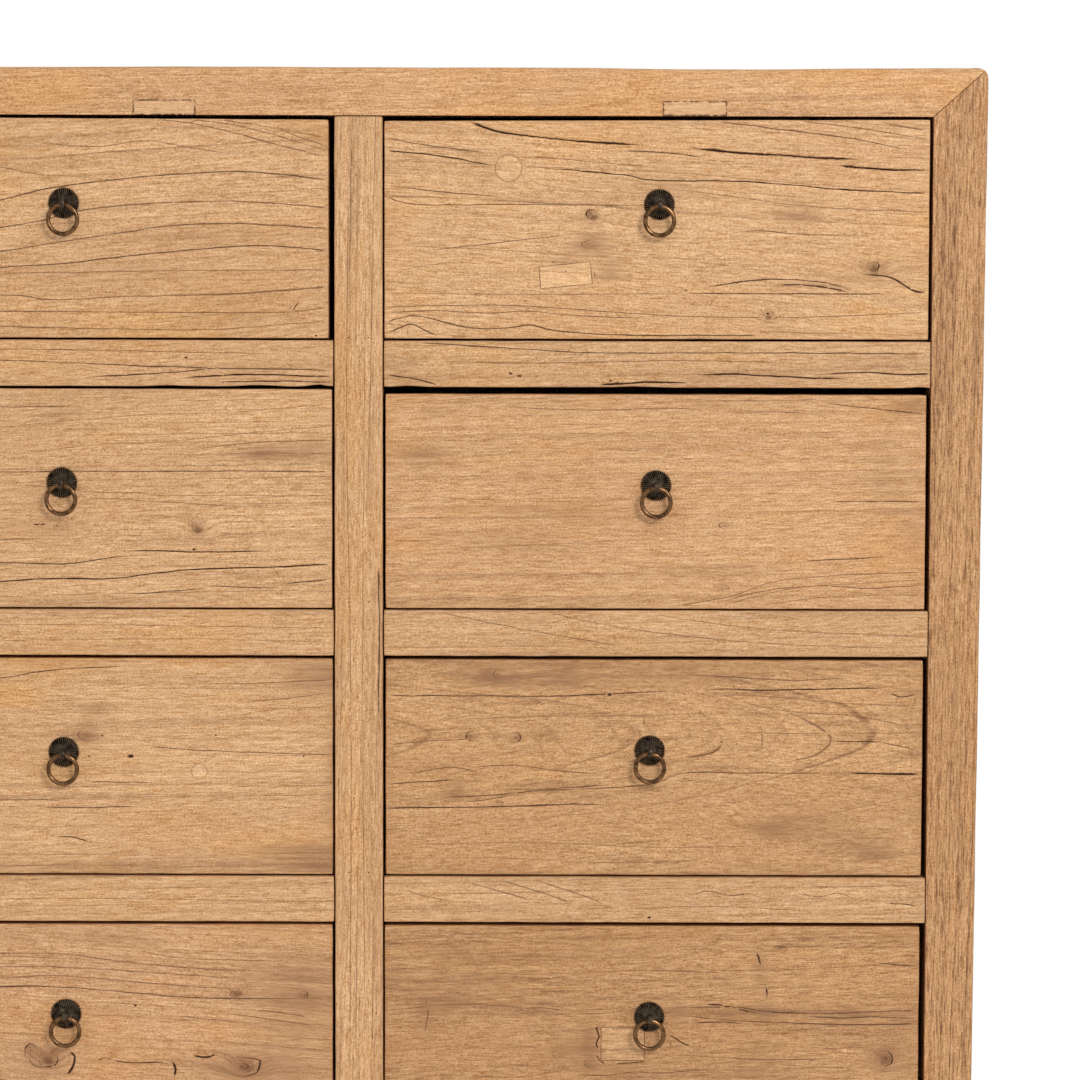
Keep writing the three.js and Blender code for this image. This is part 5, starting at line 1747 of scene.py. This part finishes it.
def build_rosette(drawer, sizes, material):
    """A domed plate pressed into flutes that deepen to a toothed rim."""
    centre, radius = pull_centre(drawer)
    base_y = centre.y - GLUE_LINE
    sides = sizes.flutes * FLUTE_STEPS
    shape = bmesh.new()
    worn = shape.verts.layers.float.new("worn")
    rings = []
    for level in range(1, ROSETTE_RINGS + 1):
        share = level / ROSETTE_RINGS
        flute = sizes.flute_depth * share ** 1.5
        ring = []
        for i, angle in enumerate(around(sides)):
            ridge = 0.5 + 0.5 * math.cos(i / FLUTE_STEPS * 2 * math.pi)
            reach = radius * share
            if level == ROSETTE_RINGS:
                reach -= TOOTH * (1 - ridge)
            rise = ROSETTE_RIM + (ROSETTE_DOME - ROSETTE_RIM) * (1 - share * share)
            rise -= flute * (1 - ridge) * (1.0 if level < ROSETTE_RINGS else 0.7)
            rise = max(rise, ROSETTE_LEAST)
            vert = shape.verts.new((centre.x + reach * math.cos(angle), base_y - rise,
                                    centre.z + reach * math.sin(angle)))
            vert[worn] = ridge ** 1.6 * (0.35 + 0.65 * share)
            ring.append(vert)
        rings.append(ring)
    top = shape.verts.new((centre.x, base_y - ROSETTE_DOME, centre.z))
    top[worn] = 0.4
    base = [shape.verts.new((v.co.x, base_y, v.co.z)) for v in rings[-1]]
    foot = shape.verts.new((centre.x, base_y, centre.z))
    for i in range(sides):
        j = (i + 1) % sides
        shape.faces.new((top, rings[0][i], rings[0][j]))
        for inner, outer in zip(rings, rings[1:] + [base]):
            shape.faces.new((inner[i], outer[i], outer[j], inner[j]))
        shape.faces.new((foot, base[j], base[i]))
    name = f"{drawer}_rosette_plate"
    piece = add_piece(name, to_mesh(shape, name), material, "bronze", drawer, (f"{drawer}_rosette",))
    soften(piece, 0.9)
    return centre


STRAP = 1.0 * MM          # thickness of the split pin's strap
STRAP_WIDTH = 3.8 * MM
STRAP_SIDES = 12
EYE_RADIUS = 3.7 * MM     # of the pin's eye, to the middle of the strap
EYE_STEPS = 24
EYE_OPENING = math.radians(22)
LEG_LENGTH = 10.5 * MM    # of a leg behind the front, from the middle of the pin
RING_WIRE = 1.85 * MM     # radius of the ring's wire
RING_WORN = 1.82 * MM     # the same, filed by hand
RING_SLACK = 0.95 * MM    # from the middle of the hanging wire up to that of the eye
RING_STEPS, WIRE_SIDES = 72, 16


def sweep_strap(path, width, thickness, name):
    """A flat strap with rounded edges along a path that lies across the front."""
    shape = bmesh.new()
    worn = shape.verts.layers.float.new("worn")
    section = []
    for i in range(STRAP_SIDES):
        angle = (i + 0.5) / STRAP_SIDES * 2 * math.pi
        x = math.copysign(abs(math.cos(angle)) ** 0.35, math.cos(angle)) * width / 2
        r = math.copysign(abs(math.sin(angle)) ** 0.8, math.sin(angle)) * thickness / 2
        section.append((x, r))
    rings = []
    for i, point in enumerate(path):
        along = (path[min(i + 1, len(path) - 1)] - path[max(i - 1, 0)]).normalized()
        out = Vector((0, along.z, -along.y))
        ring = [shape.verts.new(point + Vector((x, 0, 0)) + out * r) for x, r in section]
        for vert in ring:
            vert[worn] = 0.3
        rings.append(ring)
    for a, b in zip(rings, rings[1:]):
        for i in range(len(section)):
            j = (i + 1) % len(section)
            shape.faces.new((a[i], a[j], b[j], b[i]))
    shape.faces.new(rings[0])
    shape.faces.new(rings[-1][::-1])
    return to_mesh(shape, name)


def build_split_pin(drawer, centre, material):
    """One strap: a leg behind the front, through it, round the eye and back to the other leg."""
    rosette_low, rosette_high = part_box(f"{drawer}_rosette")
    half = STRAP * 0.62
    legs_y = rosette_high.y - half
    eye_y = rosette_low.y + EYE_RADIUS + STRAP / 2
    eye_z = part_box(f"{drawer}_ring")[1].z - RING_WIRE + RING_SLACK
    neck_y = eye_y + EYE_RADIUS * 0.96
    leg = [(legs_y, eye_z - LEG_LENGTH), (legs_y, eye_z - 4 * MM), (legs_y - 0.6 * MM, eye_z - 1.6 * MM),
           (legs_y - 3 * MM, eye_z - half), (neck_y + 1.2 * MM, eye_z - half)]
    turn = (2 * math.pi - 2 * EYE_OPENING) / EYE_STEPS
    angles = [EYE_OPENING + turn * i for i in range(EYE_STEPS + 1)]
    loop = [(eye_y + EYE_RADIUS * math.cos(a), eye_z - EYE_RADIUS * math.sin(a)) for a in angles]
    other_leg = [(y, 2 * eye_z - z) for y, z in reversed(leg)]
    path = [Vector((centre.x, y, z)) for y, z in leg + loop + other_leg]
    name = f"{drawer}_split_pin"
    mesh = sweep_strap(path, STRAP_WIDTH, STRAP, name)
    soften(add_piece(name, mesh, material, "bronze", drawer), 1.0)


def build_ring(drawer, material):
    """A round wire ring, slightly uneven as if closed and filed by hand."""
    low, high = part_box(f"{drawer}_ring")
    centre = (low + high) / 2
    radius = (high.z - low.z) / 2 - RING_WIRE
    seed = centre.x * 40 + centre.z * 17
    shape = bmesh.new()
    worn = shape.verts.layers.float.new("worn")
    rings = []
    for angle in around(RING_STEPS):
        out = Vector((math.sin(angle), 0, math.cos(angle)))
        swell = 1 - 0.05 * wave(seed, math.cos(angle) * 1.3, math.sin(angle) * 1.3)
        ring = []
        for turn in around(WIRE_SIDES):
            offset = out * math.cos(turn) + Vector((0, 1, 0)) * math.sin(turn)
            vert = shape.verts.new(centre + out * radius + offset * RING_WORN * swell)
            vert[worn] = 0.35 + 0.65 * max(0.0, -math.sin(turn)) * (0.4 + 0.6 * wave(seed + 5, angle * 2))
            ring.append(vert)
        rings.append(ring)
    for a, b in zip(rings, rings[1:] + rings[:1]):
        for j in range(WIRE_SIDES):
            k = (j + 1) % WIRE_SIDES
            shape.faces.new((a[j], b[j], b[k], a[k]))
    name = f"{drawer}_ring_wire"
    body = drawer.replace("drawer_", "ring_")
    piece = add_piece(name, to_mesh(shape, name), material, "brass", body, (f"{drawer}_ring",))
    soften(piece, 1.2)


def build_pulls(sizes, finishes):
    """A fluted rosette, a split pin and a ring on each drawer."""
    bronze = metal_material("dark bronze", finishes.bronze, finishes.bronze_worn, 0.40, 0.05)
    pin = metal_material("bronze strap", finishes.bronze, finishes.bronze_worn, 0.34, 0.03)
    brass = metal_material("aged brass", finishes.brass, finishes.brass_worn, 0.30, 0.03)
    for drawer in DRAWERS:
        centre = build_rosette(drawer, sizes, bronze)
        build_split_pin(drawer, centre, pin)
        build_ring(drawer, brass)


# ---- studio ----

# The soft key light: its place from the middle of the front at the floor, and its width.
KEY_PLACE = (1.75, -3.1, 2.3)
KEY_AIM = (0.0, 0.0, 0.6)
KEY_SIZE = 1.3
FLOOR_RADIUS = 0.95
FLOOR_GLOW = 0.10


def area_light(name, place, aim, size, power):
    """A round soft light that shines from its place at its aim."""
    light = bpy.data.lights.new(name, "AREA")
    light.shape = "DISK"
    light.size = size
    light.energy = power
    lamp = bpy.data.objects.new(name, light)
    lamp.location = place
    lamp.rotation_euler = (aim - place).to_track_quat("-Z", "Y").to_euler()
    bpy.context.scene.collection.objects.link(lamp)


def build_floor(finishes):
    """A pale round floor that fades out at its rim."""
    shape = bmesh.new()
    bmesh.ops.create_circle(shape, cap_ends=True, segments=96, radius=FLOOR_RADIUS)
    mesh = bpy.data.meshes.new("floor")
    shape.to_mesh(mesh)
    shape.free()
    floor = bpy.data.objects.new("floor", mesh)
    bpy.context.scene.collection.objects.link(floor)
    material, wire, shader = new_material("studio floor")
    shader.inputs["Roughness"].default_value = 0.8
    place = wire.new("ShaderNodeTexCoord").outputs["Object"]
    cloud = wire.noise(wire.stretch(place, 3.0, 3.0), 2.0)
    shader.inputs["Emission Color"].default_value = (1, 1, 1, 1)
    shader.inputs["Emission Strength"].default_value = FLOOR_GLOW
    wire.feed(shader.inputs["Alpha"], wire.between(wire.vector("LENGTH", place), 0.70, 0.94, 1.0, 0.0))
    pale = [min(1.0, c * 1.03) for c in finishes.floor]
    wire.feed(shader.inputs["Base Color"], wire.mix(cloud, finishes.floor, pale))
    mesh.materials.append(material)


def build_world(studio):
    """Even white light, and pure white where the camera sees past the cabinet."""
    world = bpy.data.worlds.new("surround")
    world.use_nodes = True
    bpy.context.scene.world = world
    wire = Wiring(world.node_tree)
    background = world.node_tree.nodes["Background"]
    background.inputs["Color"].default_value = (1, 1, 1, 1)
    seen = wire.new("ShaderNodeLightPath").outputs["Is Camera Ray"]
    strength = wire.times_plus(seen, 1.0 - studio.sky, studio.sky)
    wire.feed(background.inputs["Strength"], strength)


SENSOR_WIDTH = 36   # millimetres


def build_camera(studio):
    """The camera, at its distance from the point of the front that it looks at."""
    camera = bpy.data.cameras.new("camera")
    camera.lens = studio.lens
    camera.sensor_width = SENSOR_WIDTH
    camera.clip_start = 0.05
    holder = bpy.data.objects.new("camera", camera)
    aim = Vector((studio.aim[0], FRONT_Y, studio.aim[1]))
    back = Vector((0, -math.cos(studio.pitch), math.sin(studio.pitch)))
    holder.location = aim + back * studio.distance
    turn = Matrix.Rotation(math.pi / 2 - studio.pitch, 4, "X") @ Matrix.Rotation(studio.roll, 4, "Z")
    holder.rotation_euler = turn.to_euler()
    bpy.context.scene.collection.objects.link(holder)
    bpy.context.scene.camera = holder


# ---- operators ----

class CABINET_OT_frame(bpy.types.Operator):
    """Build the four posts and the top rails that meet them in three-way mitres"""
    bl_idname = "cabinet.frame"
    bl_label = "Posts and top rails"

    def execute(self, context):
        build_frame(context.scene.cabinet_sizes)
        build_low_rails(context.scene.cabinet_sizes)
        return {"FINISHED"}


class CABINET_OT_partitions(bpy.types.Operator):
    """Build the centre stile, the cross rails and the bottom front rail"""
    bl_idname = "cabinet.partitions"
    bl_label = "Stile and rails"

    def execute(self, context):
        build_partitions(context.scene.cabinet_sizes)
        return {"FINISHED"}


class CABINET_OT_panels(bpy.types.Operator):
    """Build the top, side, back and bottom panels from boards"""
    bl_idname = "cabinet.panels"
    bl_label = "Panels"

    def execute(self, context):
        build_panels()
        return {"FINISHED"}


class CABINET_OT_runners(bpy.types.Operator):
    """Build the runners, bearers and guide strips that carry the drawers"""
    bl_idname = "cabinet.runners"
    bl_label = "Runner frames"

    def execute(self, context):
        build_runner_frames()
        return {"FINISHED"}


class CABINET_OT_fronts(bpy.types.Operator):
    """Carve the eight drawer fronts with their splits, knots, plugs and patches"""
    bl_idname = "cabinet.fronts"
    bl_label = "Drawer fronts"

    def execute(self, context):
        build_fronts(context.scene.cabinet_sizes)
        return {"FINISHED"}


class CABINET_OT_boxes(bpy.types.Operator):
    """Build the sides, backs and bottoms of the drawers"""
    bl_idname = "cabinet.boxes"
    bl_label = "Drawer boxes"

    def execute(self, context):
        build_boxes()
        return {"FINISHED"}


class CABINET_OT_pulls(bpy.types.Operator):
    """Build the fluted rosettes, the split pins and the rings"""
    bl_idname = "cabinet.pulls"
    bl_label = "Ring pulls"

    def execute(self, context):
        build_pulls(context.scene.cabinet_sizes, context.scene.cabinet_finishes)
        return {"FINISHED"}


class CABINET_OT_studio(bpy.types.Operator):
    """Set the floor, the surround, the key light and the camera"""
    bl_idname = "cabinet.studio"
    bl_label = "Studio"

    def execute(self, context):
        studio = context.scene.cabinet_studio
        context.scene.view_settings.view_transform = "Standard"
        build_floor(context.scene.cabinet_finishes)
        build_world(studio)
        front = Vector((0, FRONT_Y, 0))
        area_light("key", front + Vector(KEY_PLACE), front + Vector(KEY_AIM), KEY_SIZE, studio.key)
        build_camera(studio)
        return {"FINISHED"}


class CABINET_PT_sidebar(bpy.types.Panel):
    """Lists the steps that build the cabinet"""
    bl_label = "Apothecary Cabinet"
    bl_idname = "CABINET_PT_sidebar"
    bl_space_type = "VIEW_3D"
    bl_region_type = "UI"
    bl_category = "Cabinet"

    def draw(self, context):
        for step in STEPS:
            self.layout.operator(step.bl_idname)
        for group in ("cabinet_sizes", "cabinet_finishes", "cabinet_studio"):
            settings = getattr(context.scene, group)
            for key in settings.__annotations__:
                self.layout.prop(settings, key)


STEPS = (
    CABINET_OT_studio, CABINET_OT_frame, CABINET_OT_partitions, CABINET_OT_panels,
    CABINET_OT_runners, CABINET_OT_fronts, CABINET_OT_boxes, CABINET_OT_pulls,
)
CLASSES = (CabinetSizes, CabinetFinishes, StudioSettings, *STEPS, CABINET_PT_sidebar)


def register():
    for cls in CLASSES:
        bpy.utils.register_class(cls)
    bpy.types.Scene.cabinet_sizes = bpy.props.PointerProperty(type=CabinetSizes)
    bpy.types.Scene.cabinet_finishes = bpy.props.PointerProperty(type=CabinetFinishes)
    bpy.types.Scene.cabinet_studio = bpy.props.PointerProperty(type=StudioSettings)


def unregister():
    del bpy.types.Scene.cabinet_sizes
    del bpy.types.Scene.cabinet_finishes
    del bpy.types.Scene.cabinet_studio
    for cls in reversed(CLASSES):
        bpy.utils.unregister_class(cls)


def main():
    """Builds the cabinet step by step."""
    register()
    for step in STEPS:
        family, operation = step.bl_idname.split(".")
        getattr(getattr(bpy.ops, family), operation)()


if __name__ == "__main__":
    main()
